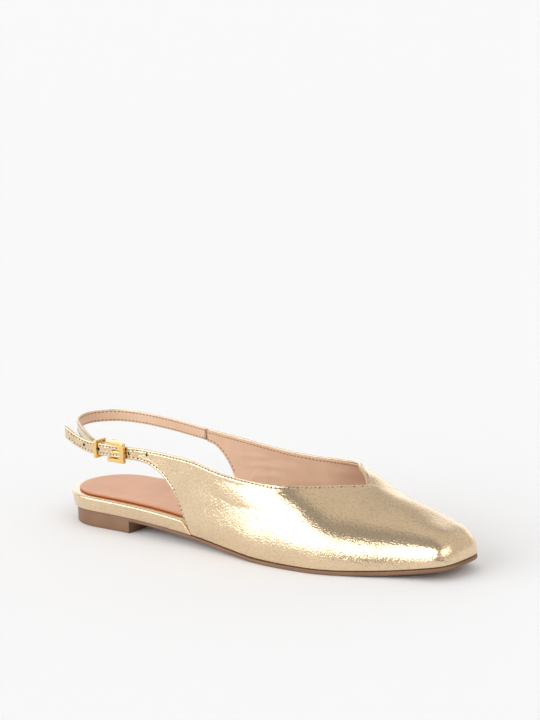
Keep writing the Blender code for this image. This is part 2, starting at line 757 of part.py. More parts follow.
def build_keeper():
    """Metal loop that holds the billet down on the sling strap."""
    mesh = bmesh.new()
    over = WALL / 2 + GAP
    # the loop's inner side stands just inside the strap's sewn-back end
    sling = strap_line(SLING, np.linspace(SLING[-1][0] / 2, SLING[-1][0], 200))
    near = sling[int(np.argmin(abs(sling[:, 0] - BUCKLE_AT.x - KEEPER_AT)))]
    deep = BUCKLE_AT.y - near[1] - 2 * STRAP_THICK - GAP - KEEPER_ROOM
    inside = (over, deep)
    half = KEEPER_HEIGHT / 2
    rings = []
    for run in (-KEEPER_BAND / 2, KEEPER_BAND / 2):
        for wall in (0.0, KEEPER_WALL):
            tall = half - KEEPER_WALL + wall
            corners = (
                (inside[0] + wall, -tall),
                (inside[0] + wall, tall),
                (inside[1] - wall, tall),
                (inside[1] - wall, -tall),
            )
            rings.append([mesh.verts.new(local(KEEPER_AT + run, a, b)) for a, b in corners])
    inner_a, outer_a, inner_b, outer_b = rings
    for a, b in ((inner_a, outer_a), (outer_a, outer_b), (outer_b, inner_b), (inner_b, inner_a)):
        for j in range(4):
            k = (j + 1) % 4
            mesh.faces.new((a[j], a[k], b[k], b[j]))
    return finish("keeper", mesh, "gold_brass", smooth=False)


def punch(upper, strap):
    """Five round holes through the billet, and the prong's slot in the folded strap."""
    mesh = bmesh.new()
    place = strap_line(BILLET, np.linspace(0, BILLET[-1][0], 200))
    for k in range(-2, 3):
        x = BUCKLE_AT.x + PRONG_HOLE + k * HOLE_SPACING
        near = min(int(np.argmin(abs(place[:, 0] - x))), len(place) - 2)
        at = place[near]
        way = place[near + 1] - at
        spin = math.atan2(way[1], way[0])
        made = bmesh.ops.create_cone(
            mesh, cap_ends=True, segments=12, radius1=HOLE_SIZE / 2, radius2=HOLE_SIZE / 2,
            depth=8 * MM,
        )
        turn = Matrix.Rotation(spin, 4, 'Z') @ Matrix.Rotation(math.pi / 2, 4, 'X')
        bmesh.ops.transform(mesh, matrix=Matrix.Translation(at) @ turn, verts=made['verts'])
    holes = finish("tool_holes", mesh, "gold_brass", smooth=False)
    holes.hide_render = True
    holes.display_type = 'WIRE'
    combine(upper, holes, 'DIFFERENCE')
    rear = -FRAME_LENGTH / 2
    slot = (
        (rear - 2.1 * MM, -WALL / 2 - 0.05 * MM),
        (rear + 3.6 * MM, -WALL / 2 - 0.05 * MM),
        (rear + 3.6 * MM, PIVOT_DEPTH * 2),
        (rear - 2.1 * MM, PIVOT_DEPTH * 2),
    )
    half = PRONG_WIDTH / 2 + GAP
    combine(strap, tool("tool_slot", slot, -half, half), 'DIFFERENCE')


start_empty()
build_outsole()
build_footbed()
build_sock()
upper = build_upper()
strap = build_strap()
build_frame()
build_prong()
build_keeper()
punch(upper, strap)
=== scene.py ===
# Looks of the sling back flat, a right shoe: gold foil leather over a low brown sole.
# Tables count from the back of the heel; set_piece moves each piece to the frame's origin.
import math

import bmesh
import bpy
import numpy as np
from mathutils import Matrix, Vector, noise
from mathutils.bvhtree import BVHTree
from mathutils.kdtree import KDTree


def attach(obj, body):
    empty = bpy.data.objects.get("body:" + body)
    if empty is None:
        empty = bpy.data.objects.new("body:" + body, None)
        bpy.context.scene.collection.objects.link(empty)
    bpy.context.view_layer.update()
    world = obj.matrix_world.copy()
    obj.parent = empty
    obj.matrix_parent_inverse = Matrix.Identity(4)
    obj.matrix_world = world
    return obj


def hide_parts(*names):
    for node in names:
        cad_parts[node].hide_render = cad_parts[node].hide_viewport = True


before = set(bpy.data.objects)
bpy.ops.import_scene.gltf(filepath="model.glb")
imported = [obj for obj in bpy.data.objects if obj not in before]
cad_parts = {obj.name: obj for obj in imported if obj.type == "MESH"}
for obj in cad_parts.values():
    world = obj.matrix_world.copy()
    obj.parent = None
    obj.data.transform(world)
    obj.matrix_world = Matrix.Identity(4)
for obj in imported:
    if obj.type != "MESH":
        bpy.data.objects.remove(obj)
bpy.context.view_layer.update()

# Outsole and heel block
# One moulding of brown rubber: a thin sole with a softened edge that runs up to the toe,
# and a low heel block with an upright breast. Matt, with a fine moulded grain.
MM = 0.001
LENGTH = 258 * MM
BALL_WIDTH = 77 * MM
INSTEP_HEIGHT = 58 * MM
HEEL_BREAST = 55.4 * MM
HEEL_MIDDLE = 28 * MM
HEEL_ROUND = 0.115
TOE_START = 0.958
TOE_SQUARENESS = 3.2
TIP_SIDE = 0.030
HEEL_SET = 1.6 * MM
GAP = 0.3 * MM
SOLE_THICK = 2.2 * MM

# Radius of the sole's softened edges in millimetres
BOTTOM_TURN = 0.9
TOP_TURN = 0.4

# Plan of the sole: share of LENGTH, then each side's distance as a share of BALL_WIDTH
OUTLINE = (
    # along, lateral, medial
    (0.115, 0.351, 0.338),
    (0.200, 0.358, 0.343),
    (0.300, 0.364, 0.325),
    (0.400, 0.384, 0.294),
    (0.500, 0.436, 0.312),
    (0.580, 0.488, 0.377),
    (0.660, 0.505, 0.455),
    (0.740, 0.486, 0.490),
    (0.820, 0.402, 0.455),
    (0.900, 0.300, 0.352),
    (0.960, 0.244, 0.262),
    (1.000, 0.214, 0.188),
)

# Side view: heights over the floor in millimetres
PROFILE = (
    # along, underside of the sole, top of the footbed
    (0.00, 7.3, 18.0),
    (0.10, 7.1, 17.5),
    (0.22, 6.6, 16.8),
    (0.32, 5.2, 15.2),
    (0.42, 3.2, 12.6),
    (0.52, 1.0, 9.2),
    (0.60, 0.0, 6.6),
    (0.72, 0.0, 5.6),
    (0.80, 0.4, 5.8),
    (0.90, 2.2, 7.4),
    (1.00, 6.2, 10.8),
)


def curve(rows, column, at):
    """Smooth reading of one column of a table at the shares in at."""
    xs = np.array([row[0] for row in rows], float)
    ys = np.array([row[column] for row in rows], float)
    at = np.clip(np.asarray(at, float), xs[0], xs[-1])
    slope = np.empty_like(ys)
    slope[1:-1] = (ys[2:] - ys[:-2]) / (xs[2:] - xs[:-2])
    slope[0] = (ys[1] - ys[0]) / (xs[1] - xs[0])
    slope[-1] = (ys[-1] - ys[-2]) / (xs[-1] - xs[-2])
    i = np.clip(np.searchsorted(xs, at) - 1, 0, len(xs) - 2)
    h = xs[i + 1] - xs[i]
    t = (at - xs[i]) / h
    a = (2 * t**3 - 3 * t**2 + 1) * ys[i] + (t**3 - 2 * t**2 + t) * h * slope[i]
    b = (-2 * t**3 + 3 * t**2) * ys[i + 1] + (t**3 - t**2) * h * slope[i + 1]
    return a + b


def ease(x):
    """Smooth step from 0 to 1."""
    x = np.clip(x, 0.0, 1.0)
    return x * x * (3 - 2 * x)


def plan(side, share):
    """Plan point of the sole's edge at a share of LENGTH; side is -1 lateral, 1 medial."""
    column = 1 if side < 0 else 2
    share = np.clip(np.asarray(share, float), 0.0, 1.0)
    body = np.clip(share, HEEL_ROUND, 1.0)
    wide = curve(OUTLINE, column, body) * BALL_WIDTH * side
    heel = np.clip(1 - share / HEEL_ROUND, 0, 1)
    wide = wide * np.sqrt(1 - heel**2)
    toe = np.clip((share - TOE_START) / (1 - TOE_START), 0, 1)
    drop = (1 - toe**TOE_SQUARENESS) ** (1 / TOE_SQUARENESS)
    tip = TIP_SIDE * BALL_WIDTH
    wide = np.where(share > TOE_START, tip + (wide - tip) * drop, wide)
    return np.stack([share * LENGTH + HEEL_SET * heel**2, wide], -1)


def ring_normals(points):
    """Plan normals of a closed ring of points, to the right of its run."""
    step = np.roll(points, -1, 0) - np.roll(points, 1, 0)
    turn = np.stack([step[:, 1], -step[:, 0]], -1)
    return turn / np.maximum(np.linalg.norm(turn, axis=1, keepdims=True), 1e-12)


def shares(heel, marks, toe):
    """Station shares: evenly turned round the heel, through the marks, round the toe."""
    back = [HEEL_ROUND * (1 - math.cos(math.pi / 2 * k / heel)) for k in range(heel)]
    front = []
    for k in range(toe + 1):
        turn = math.pi / 2 * k / toe
        front.append(TOE_START + (1 - TOE_START) * math.sin(turn) ** (2 / TOE_SQUARENESS))
    return np.array(back + list(marks) + front)


def edge_loop(at, inset, shift_l=0.0, shift_m=0.0):
    """Lateral and medial plan points at the shares, moved in square to the edge."""
    lateral = plan(-1, at + shift_l)
    medial = plan(1, at + shift_m)
    out = -ring_normals(np.concatenate([medial, lateral[-2:0:-1]]))
    count = len(at)
    out_m = out[:count]
    out_l = np.concatenate([out[:1], out[:count - 2:-1]])
    inset = np.broadcast_to(inset, at.shape)
    moved_l = lateral - out_l * inset[:, None]
    moved_m = medial - out_m * inset[:, None]
    # round the square toe the edge is drawn in towards its middle instead
    tip = TIP_SIDE * BALL_WIDTH
    toe = np.clip((at - TOE_START) / (1 - TOE_START), 0, 1)
    front = at > TOE_START - 1e-6
    for side, points, moved in ((-1, lateral, moved_l), (1, medial, moved_m)):
        wide = abs(plan(side, TOE_START)[1] - tip)
        x = points[:, 0] - inset * toe
        y = tip + (points[:, 1] - tip) * (1 - inset / wide)
        moved[front] = np.column_stack([x, y])[front]
    return moved_l, moved_m


def height(column, share):
    """A height of the side view, in metres, never under the floor."""
    return np.maximum(curve(PROFILE, column, share), 0.0) * MM


def set_piece(name, mesh, material, node):
    """Give a mesh its material, move it to the frame's origin and hand it to the frame."""
    mesh.transform(Matrix.Translation((-HEEL_MIDDLE, 0, 0)))
    mesh.shade_smooth()
    if material.name not in mesh.materials:
        mesh.materials.append(material)
    piece = bpy.data.objects.new(name, mesh)
    bpy.context.scene.collection.objects.link(piece)
    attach(piece, "root")
    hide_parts(node)
    return piece


def from_bmesh(name, mesh):
    """Mesh data from a bmesh, which is freed."""
    data = bpy.data.meshes.new(name)
    mesh.to_mesh(data)
    mesh.free()
    return data


def ring_mesh(name, rings, marks=None):
    """Closed mesh: ring walls, and ladders of faces between the two sides as caps.
    marks holds a number for each ring, kept as the attribute edge."""
    mesh = bmesh.new()
    layer = mesh.verts.layers.float.new("edge")
    grid = []
    for k, (side_l, side_m) in enumerate(rings):
        lateral = [mesh.verts.new(p) for p in side_l]
        medial = [mesh.verts.new(p) for p in side_m[1:-1]]
        for vert in lateral + medial:
            vert[layer] = marks[k] if marks else 0.0
        grid.append((lateral, [lateral[0]] + medial + [lateral[-1]]))
    for (low_l, low_m), (high_l, high_m) in zip(grid, grid[1:]):
        for i in range(len(low_l) - 1):
            mesh.faces.new((low_l[i], high_l[i], high_l[i + 1], low_l[i + 1]))
            mesh.faces.new((low_m[i], low_m[i + 1], high_m[i + 1], high_m[i]))
    for (lateral, medial), up in ((grid[0], False), (grid[-1], True)):
        for i in range(len(lateral) - 1):
            ladder = [lateral[i], lateral[i + 1], medial[i + 1], medial[i]]
            face = list(dict.fromkeys(ladder))
            mesh.faces.new(face if up else face[::-1])
    bmesh.ops.recalc_face_normals(mesh, faces=mesh.faces)
    return from_bmesh(name, mesh)


def shader(name, colour, roughness, metallic=0.0):
    """New material with its Principled BSDF, and its node tree to add to."""
    made = bpy.data.materials.new(name)
    made.use_nodes = True
    bsdf = made.node_tree.nodes["Principled BSDF"]
    bsdf.inputs["Base Color"].default_value = (*colour, 1.0)
    bsdf.inputs["Roughness"].default_value = roughness
    bsdf.inputs["Metallic"].default_value = metallic
    return made, made.node_tree, bsdf


def add_node(tree, kind, **settings):
    """Add a node and set its named inputs or properties."""
    node = tree.nodes.new(kind)
    for key, value in settings.items():
        if key in node.inputs:
            node.inputs[key].default_value = value
        else:
            setattr(node, key, value)
    return node


def grain(tree, kind, scale, **settings):
    """Texture node read in object coordinates."""
    place = add_node(tree, "ShaderNodeTexCoord")
    texture = add_node(tree, kind, Scale=scale, **settings)
    tree.links.new(place.outputs["Object"], texture.inputs["Vector"])
    return texture


def bump(tree, bsdf, source, strength, distance, under=None):
    """Bump from a texture output, on top of an earlier bump when under is given."""
    node = add_node(tree, "ShaderNodeBump", Strength=strength, Distance=distance)
    tree.links.new(source, node.inputs["Height"])
    if under is not None:
        tree.links.new(under.outputs["Normal"], node.inputs["Normal"])
    tree.links.new(node.outputs["Normal"], bsdf.inputs["Normal"])
    return node


def remap(tree, source, low, high, to_low=0.0, to_high=1.0, **settings):
    """Output that goes from to_low to to_high while the source goes from low to high."""
    node = add_node(tree, "ShaderNodeMapRange", **settings)
    ends = {"From Min": low, "From Max": high, "To Min": to_low, "To Max": to_high}
    for name, value in ends.items():
        node.inputs[name].default_value = value
    tree.links.new(source, node.inputs["Value"])
    return node.outputs["Result"]


def mix_colours(tree, factor, first, second):
    """Output between two colours; the first may also be another node's output."""
    mix = add_node(tree, "ShaderNodeMix", data_type='RGBA')
    tree.links.new(factor, mix.inputs[0])
    if isinstance(first, tuple):
        mix.inputs[6].default_value = (*first, 1.0)
    else:
        tree.links.new(first, mix.inputs[6])
    mix.inputs[7].default_value = (*second, 1.0)
    return mix.outputs[2]


def mottle(tree, bsdf, scale, detail, first, second):
    """Base colour in soft clouds between two tones, and the output it comes from."""
    cloud = grain(tree, "ShaderNodeTexNoise", scale, Detail=detail)
    share = remap(tree, cloud.outputs["Fac"], 0.3, 0.7)
    colour = mix_colours(tree, share, first, second)
    tree.links.new(colour, bsdf.inputs["Base Color"])
    return colour


def brown_rubber():
    """Moulded brown rubber, matt, a little uneven in tone."""
    made, tree, bsdf = shader("brown_rubber", (0.22, 0.115, 0.058), 0.55)
    mottle(tree, bsdf, 60.0, 3.0, (0.19, 0.097, 0.048), (0.25, 0.134, 0.069))
    fine = grain(tree, "ShaderNodeTexNoise", 1800.0, Detail=2.0)
    bump(tree, bsdf, fine.outputs["Fac"], 0.18, 0.1 * MM)
    return made


RUBBER = brown_rubber()


def build_outsole():
    """Sole and heel block as one ring mesh with softened edges."""
    breast = HEEL_BREAST / LENGTH
    marks = list(np.linspace(0.12, breast - 0.012, 12)) + [breast - 0.005, breast - 0.0015]
    marks += [breast, breast + 0.0012, breast + 0.0035, breast + 0.010]
    marks += list(np.linspace(0.24, 0.955, 90))
    at = shares(20, marks, 26)
    heel_foot = np.where(at < breast - 0.0002, 0.0, height(1, at))
    drawn_in = 1.5 * MM * (1 - ease((at - 0.15) / 0.35)) + 0.2 * MM
    # inset and height off each face in millimetres: turn of the bottom edge, then of the top
    rows = [(7.0, 0.0, False), (3.0, 0.0, False)]
    for k in range(6):
        turn = math.pi / 2 * k / 5
        rows.append((BOTTOM_TURN * (1 - math.sin(turn)), BOTTOM_TURN * (1 - math.cos(turn)), False))
    for k in range(5):
        turn = math.pi / 2 * k / 4
        rows.append((TOP_TURN * (1 - math.cos(turn)), TOP_TURN * (1 - math.sin(turn)), True))
    rows.append((3.0, 0.0, True))
    rings = []
    for inset, lift, from_top in rows:
        sides = edge_loop(at, drawn_in + inset * MM)
        z = height(1, at) + SOLE_THICK - lift * MM if from_top else heel_foot + lift * MM
        rings.append([np.column_stack([points, z]) for points in sides])
    mesh = ring_mesh("outsole", rings)
    return set_piece("outsole_moulding", mesh, RUBBER, "outsole")


build_outsole()

# Footbed band
# Insole board wrapped in the same gold leather, seen as a band round the heel with a
# soft fold along its upper edge. It steps in behind the wings and runs inside the upper.
INSOLE_INSET = 3.2 * MM

# Share of LENGTH where the visible band ends and the board steps in
BAND_END = 0.3935
BAND_STEP = 0.0015


def gold_leather():
    """Champagne foil leather: metal sheen under a thin clear coat, crackled fine grain, and dark
    flecks in its colour that are partly its crackle and partly painted shade.
    """
    made, tree, bsdf = shader("gold_leather", (0.78, 0.595, 0.385), 0.26, 1.0)
    bsdf.inputs["Coat Weight"].default_value = 0.35
    bsdf.inputs["Coat Roughness"].default_value = 0.30
    tone = mottle(tree, bsdf, 90.0, 4.0, (0.77, 0.59, 0.385), (0.82, 0.635, 0.42))
    # dark flecks in the base colour: partly the foil's crackled tone, partly painted shade standing
    # in for the grain's dark reflections
    fleck = grain(tree, "ShaderNodeTexNoise", 1000.0, Detail=2.0, Roughness=0.6)
    reach = remap(tree, fleck.outputs["Fac"], 0.50, 0.66, to_high=0.40)
    crackle_and_painted_shade = mix_colours(tree, reach, tone, (0.47, 0.34, 0.205))
    tree.links.new(crackle_and_painted_shade, bsdf.inputs["Base Color"])
    pebble = grain(tree, "ShaderNodeTexVoronoi", 1000.0, feature='SMOOTH_F1', Smoothness=0.2)
    under = bump(tree, bsdf, pebble.outputs["Distance"], 0.8, 0.06 * MM)
    crackle = grain(tree, "ShaderNodeTexNoise", 850.0, Detail=1.5, Roughness=0.6)
    bump(tree, bsdf, crackle.outputs["Fac"], 1.0, 0.14 * MM, under)
    rough = grain(tree, "ShaderNodeTexNoise", 260.0, Detail=3.0)
    level = remap(tree, rough.outputs["Fac"], 0.0, 1.0, 0.14, 0.21)
    tree.links.new(level, bsdf.inputs["Roughness"])
    return made


GOLD = gold_leather()

BAND = (
    # turn, outward from the sole's edge, share of the height
    (0.0, -0.60, 0.000),
    (1.0, -0.20, 0.030),
    (2.0, 0.10, 0.150),
    (3.0, 0.50, 0.480),
    (4.0, 0.86, 0.780),
    (5.0, 0.90, 0.880),
    (6.0, 0.66, 0.955),
    (7.0, 0.10, 0.992),
    (8.0, -0.80, 1.000),
)


def build_footbed():
    """Board and band with a rounded upper edge and the step behind the wings."""
    marks = list(np.linspace(0.12, 0.39, 70))
    marks += [BAND_END + step for step in (-0.002, 0.0, 0.0007, BAND_STEP, 0.0045)]
    marks += list(np.linspace(0.405, 0.95, 60))
    at = shares(20, marks, 20)
    rings = []
    for turn in np.linspace(0, 8, 29):
        out = float(curve(BAND, 1, turn))
        share = min(float(curve(BAND, 2, turn)), 1.0)
        near = np.exp(-((at - BAND_END - BAND_STEP / 3) / 0.035)**2)
        slide_l = -0.024 * share * near
        slide_m = -(0.017 + 0.015 * share) * near
        band = 1 - ease((at - BAND_END) / BAND_STEP)
        inset = INSOLE_INSET - band * (INSOLE_INSET + out * MM)
        ring = []
        for points in edge_loop(at, inset, slide_l, slide_m):
            where = points[:, 0] / LENGTH
            low = height(1, where) + SOLE_THICK + GAP
            z = low + (height(2, where) - low) * share
            ring.append(np.column_stack([points, z]))
        rings.append(ring)
    mesh = ring_mesh("footbed", rings)
    return set_piece("footbed_band", mesh, GOLD, "footbed")


build_footbed()

# Sock
# Peach tan leather glued on the footbed, its cut edge dyed a burnt orange, plain all over
# with the same fine grain.
SOCK_THICK = 1.2 * MM
SOCK_INSET = 3.4 * MM


def sock_leather():
    """Matt peach tan leather with a darker dyed edge."""
    made, tree, bsdf = shader("sock_leather", (0.70, 0.375, 0.225), 0.50)
    tone = mottle(tree, bsdf, 45.0, 5.0, (0.68, 0.36, 0.215), (0.76, 0.43, 0.275))
    edge = add_node(tree, "ShaderNodeAttribute", attribute_name="edge")
    dyed = mix_colours(tree, edge.outputs["Fac"], tone, (0.52, 0.18, 0.065))
    tree.links.new(dyed, bsdf.inputs["Base Color"])
    pores = grain(tree, "ShaderNodeTexVoronoi", 1500.0, feature='SMOOTH_F1')
    under = bump(tree, bsdf, pores.outputs["Distance"], 0.16, 0.08 * MM)
    soft = grain(tree, "ShaderNodeTexNoise", 160.0, Detail=4.0)
    bump(tree, bsdf, soft.outputs["Fac"], 0.18, 0.5 * MM, under)
    return made


def build_sock():
    """Sheet with a square cut side and a softly pressed rim."""
    marks = list(np.linspace(0.12, 0.95, 110))
    at = shares(22, marks, 20)
    inset = SOCK_INSET + 0.6 * MM * ease((at - 0.10) / 0.2) + 0.4 * MM * ease((at - 0.40) / 0.1)
    rows = (
        # further in, share of the thickness, how much of the edge dye shows
        (0.3, 0.00, 1.0),
        (0.0, 0.10, 1.0),
        (0.0, 0.60, 1.0),
        (0.06, 0.78, 1.0),
        (0.20, 0.90, 0.6),
        (0.50, 0.96, 0.05),
        (1.10, 1.00, 0.0),
        (2.50, 1.00, 0.0),
        (6.00, 0.97, 0.0),
    )
    rings = []
    for further, share, dye in rows:
        ring = []
        for points in edge_loop(at, inset + further * MM):
            z = height(2, points[:, 0] / LENGTH) + GAP / 2 + SOCK_THICK * share
            ring.append(np.column_stack([points, z]))
        rings.append(ring)
    mesh = ring_mesh("sock", rings, [row[2] for row in rows])
    return set_piece("sock_sheet", mesh, sock_leather(), "sock")


build_sock()

# Vamp and lateral quarter
# One cut of foil leather: it runs from the billet along the lateral side, wraps the toe
# and crosses over the medial quarter from the V point down. Its free edges are folded
# under and stitched. Made on the surface of the last, with its creases placed one by one.
TOE_POLE = 22 * MM
POLE_EASE = 7
FEATHER_INSET = 0.5 * MM
STEP = 0.8 * MM
LEATHER = 1.05 * MM
LINING = 0.7 * MM
V_POINT = 0.768
REAR_END = 0.395
MEDIAL_FOOT = 0.354
STRAP_WIDTH = 6.8 * MM
TAIL_SLANT = 2.6 * MM

# Crown line of the last: height as a share of INSTEP_HEIGHT, side as a share of
# BALL_WIDTH, and the slope across it (up towards the medial side)
CROWN = (
    # along, height, side, slope
    (0.20, 1.480, 0.000, 0.00),
    (0.40, 1.310, 0.020, 0.00),
    (0.50, 1.170, 0.035, 0.02),
    (0.58, 1.020, 0.050, 0.05),
    (0.66, 0.860, 0.053, 0.12),
    (0.72, 0.735, 0.054, 0.18),
    (0.76, 0.657, 0.056, 0.17),
    (0.80, 0.603, 0.060, 0.11),
    (0.85, 0.549, 0.066, 0.05),
    (0.92, 0.454, 0.074, 0.00),
)

# Flank of the last on each side: outward lean at the feather edge (share of BALL_WIDTH),
# rise of the wall (share of the height to the crown) and reach of the crown
FLANK = (
    # along, lean_l, rise_l, reach_l, lean_m, rise_m, reach_m
    (0.20, 0.060, 0.45, 1.14, 0.060, 0.45, 1.16),
    (0.30, 0.060, 0.46, 1.14, 0.085, 0.46, 1.24),
    (0.40, 0.055, 0.48, 1.13, 0.100, 0.48, 1.34),
    (0.50, 0.030, 0.52, 1.04, 0.065, 0.52, 1.14),
    (0.58, 0.020, 0.60, 0.88, 0.030, 0.56, 0.88),
    (0.66, 0.025, 0.62, 0.78, 0.010, 0.56, 0.74),
    (0.72, 0.025, 0.58, 0.70, 0.010, 0.54, 0.62),
    (0.76, 0.020, 0.54, 0.66, 0.010, 0.52, 0.57),
    (0.80, 0.018, 0.52, 0.62, 0.010, 0.52, 0.56),
    (0.85, 0.015, 0.52, 0.58, 0.010, 0.54, 0.58),
    (0.90, 0.012, 0.58, 0.56, 0.010, 0.60, 0.56),
    (0.95, 0.010, 0.66, 0.55, 0.008, 0.68, 0.55),
    (1.00, 0.006, 0.80, 0.52, 0.006, 0.80, 0.52),
)

# How far ahead the medial foot of each meridian stands, as a share of LENGTH
SKEW = (
    # along, ahead
    (0.20, 0.000),
    (0.40, 0.030),
    (0.60, 0.052),
    (0.76, 0.062),
    (0.86, 0.050),
    (0.94, 0.022),
    (1.00, 0.000),
)

# Upper edges as girth shares up the meridian: the topline, and the cut rear edge
TOPLINE = (
    # along, lateral, medial
    (0.26, 0.406, 0.411),
    (0.32, 0.419, 0.416),
    (0.36, 0.426, 0.421),
    (0.40, 0.433, 0.424),
    (0.44, 0.431, 0.434),
    (0.48, 0.434, 0.450),
    (0.52, 0.446, 0.474),
    (0.56, 0.466, 0.514),
    (0.60, 0.504, 0.568),
    (0.64, 0.575, 0.655),
    (0.68, 0.684, 0.785),
    (0.70, 0.752, 0.830),
    (0.72, 0.827, 0.868),
    (0.74, 0.897, 0.920),
    (0.768, 1.000, 1.000),
)
REAR_EDGE = (
    # along, lateral, medial
    (0.26, 0.333, 0.331),
    (0.28, 0.331, 0.322),
    (0.30, 0.320, 0.283),
    (0.32, 0.298, 0.216),
    (0.34, 0.257, 0.120),
    (0.355, 0.212, 0.000),
    (0.37, 0.135, 0.000),
    (0.38, 0.080, 0.000),
    (0.395, 0.000, 0.000),
)

# Billet behind the lateral wing: middle of its outer face, tail first; along is a share
# of LENGTH, side of BALL_WIDTH and height of INSTEP_HEIGHT
BILLET = (
    # run, along, side, height
    (0.0, 0.0473, -0.3688, 0.9310),
    (1.0, 0.0814, -0.3844, 0.8655),
    (2.0, 0.1182, -0.4000, 0.8241),
    (3.0, 0.1473, -0.4065, 0.8121),
    (4.0, 0.1783, -0.4065, 0.8103),
    (5.0, 0.2112, -0.4065, 0.8103),
    (6.0, 0.2364, -0.4039, 0.8103),
    (7.0, 0.2636, -0.3974, 0.8086),
    (8.0, 0.2946, -0.3922, 0.8138),
)

# Soft troughs and ridges of the worn-in leather, each along a line from one place on the
# last to another; side is -1 lateral, 1 medial
CREASES = (
    # side, along, girth, to along, to girth, width mm, depth mm
    (-1, 0.350, 0.060, 0.680, 0.075, 9.5, 1.50),
    (-1, 0.370, 0.320, 0.670, 0.330, 12.0, -1.30),
    (-1, 0.775, 0.93, 0.870, 0.80, 4.5, -0.30),
    (-1, 0.790, 0.80, 0.900, 0.62, 5.5, -0.34),
    (-1, 0.770, 0.98, 0.905, 0.97, 6.0, 0.22),
    (-1, 0.745, 0.78, 0.815, 0.66, 4.0, 0.18),
    (-1, 0.700, 0.60, 0.760, 0.74, 4.5, -0.16),
    (-1, 0.640, 0.44, 0.700, 0.54, 5.0, 0.14),
    (-1, 0.620, 0.30, 0.700, 0.36, 6.0, -0.14),
    (-1, 0.500, 0.26, 0.560, 0.37, 5.0, -0.12),
    (-1, 0.420, 0.12, 0.440, 0.30, 5.0, 0.12),
    (-1, 0.350, 0.30, 0.390, 0.40, 4.0, -0.10),
    (1, 0.775, 0.88, 0.840, 0.62, 5.0, -0.24),
    (1, 0.700, 0.60, 0.740, 0.40, 5.0, 0.18),
    (1, 0.560, 0.20, 0.620, 0.42, 6.0, -0.16),
    (1, 0.440, 0.10, 0.500, 0.30, 6.0, 0.14),
)


def crown_point(share):
    """Point of the crown line and its slope along the shoe."""
    z = curve(CROWN, 1, share) * INSTEP_HEIGHT
    ahead = curve(CROWN, 1, share + 0.004) * INSTEP_HEIGHT
    slope = (ahead - z) / (0.004 * LENGTH)
    side = curve(CROWN, 2, share) * BALL_WIDTH
    return np.stack([share * LENGTH, side, z], -1), slope, curve(CROWN, 3, share)


def meridians(side, at):
    """Four control points of the last's meridian on one side at each share in at."""
    at = np.asarray(at, float)
    foot = at + (curve(SKEW, 1, at) if side > 0 else 0.0)
    foot = np.minimum(foot, 1.0)
    near = plan(side, foot)
    along = near - plan(side, np.maximum(foot - 0.002, 0.0))
    out = np.stack([along[:, 1], -along[:, 0]], -1) * -side
    out /= np.maximum(np.linalg.norm(out, axis=1, keepdims=True), 1e-12)
    out = np.where((at >= 0.9999)[:, None], np.array([1.0, 0.0]), out)
    near = near - out * FEATHER_INSET
    low = height(1, foot) + SOLE_THICK + GAP
    start = np.column_stack([near, low])
    crown, slope, across = crown_point(at - TOE_POLE / LENGTH * at**POLE_EASE)
    rise = (crown[:, 2] - low)
    column = 1 if side < 0 else 4
    lean = curve(FLANK, column, at) * BALL_WIDTH
    lift = curve(FLANK, column + 1, at) * rise
    reach = curve(FLANK, column + 2, at)
    first = start + np.column_stack([out * lean[:, None], lift])
    flat = (start - crown)[:, :2] * reach[:, None]
    second = crown + np.column_stack([flat, flat[:, 0] * slope + flat[:, 1] * across])
    return np.stack([start, first, second, crown], 1)


def along_meridian(control, t):
    """Points at girth shares t (stations by rows) on cubic meridians."""
    t = np.asarray(t, float)[..., None]
    a, b, c, d = (control[:, k][:, None, :] for k in range(4))
    return a * (1 - t)**3 + 3 * b * t * (1 - t)**2 + 3 * c * t * t * (1 - t) + d * t**3


# Distances of the rows from a free edge in millimetres, close together at the fold
EDGE_ROWS = (0.0, 0.04, 0.14, 0.30, 0.52, 0.80, 1.10, 1.35, 1.60, 1.85, 2.15, 2.60, 3.30)


def spread(length, middle):
    """Row distances over a length: the edge rows at both ends and even rows between."""
    near = np.array(EDGE_ROWS) * MM
    near = near * min(1.0, 0.44 * length / near[-1])
    between = np.linspace(near[-1], length - near[-1], middle + 2)[1:-1]
    return np.concatenate([near, between, (length - near)[::-1]])


def last_rows(side, marks, middle, lower=0.0):
    """Grid of points on the last between the rear edge or feather and the topline."""
    column = 1 if side < 0 else 2
    top = np.where(marks >= V_POINT, 1.0, curve(TOPLINE, column, marks))
    low = np.maximum(curve(REAR_EDGE, column, marks), 0.0)
    low = np.where(marks > REAR_END - 0.001, 0.0, low)
    if side > 0:
        low = np.where(marks > MEDIAL_FOOT, 0.0, low)
    control = meridians(side, marks)
    fine = np.linspace(0, 1, 121)
    line = along_meridian(control, np.broadcast_to(fine, (len(marks), 121)))
    steps = np.linalg.norm(np.diff(line, axis=1), axis=2)
    run = np.concatenate([np.zeros((len(marks), 1)), np.cumsum(steps, 1)], 1)
    share = []
    for k in range(len(marks)):
        start, end = np.interp([low[k], top[k]], fine, run[k])
        end -= lower if marks[k] < V_POINT else 0.0
        start += lower if low[k] > 0 else 0.0
        share.append(np.interp(start + spread(end - start, middle), run[k], fine))
    return along_meridian(control, np.array(share))


def route(table, run):
    """Points of a table of shares of LENGTH, BALL_WIDTH and INSTEP_HEIGHT, in metres."""
    rows = np.stack([curve(table, column, run) for column in (1, 2, 3)], -1)
    return rows * np.array([LENGTH, BALL_WIDTH, INSTEP_HEIGHT])


def unit(rows):
    """Vectors scaled to a length of 1."""
    return rows / np.linalg.norm(rows, axis=1, keepdims=True)


def sideways(way):
    """Level vectors to the right of each direction."""
    return np.stack([way[:, 1], -way[:, 0], 0 * way[:, 0]], -1)


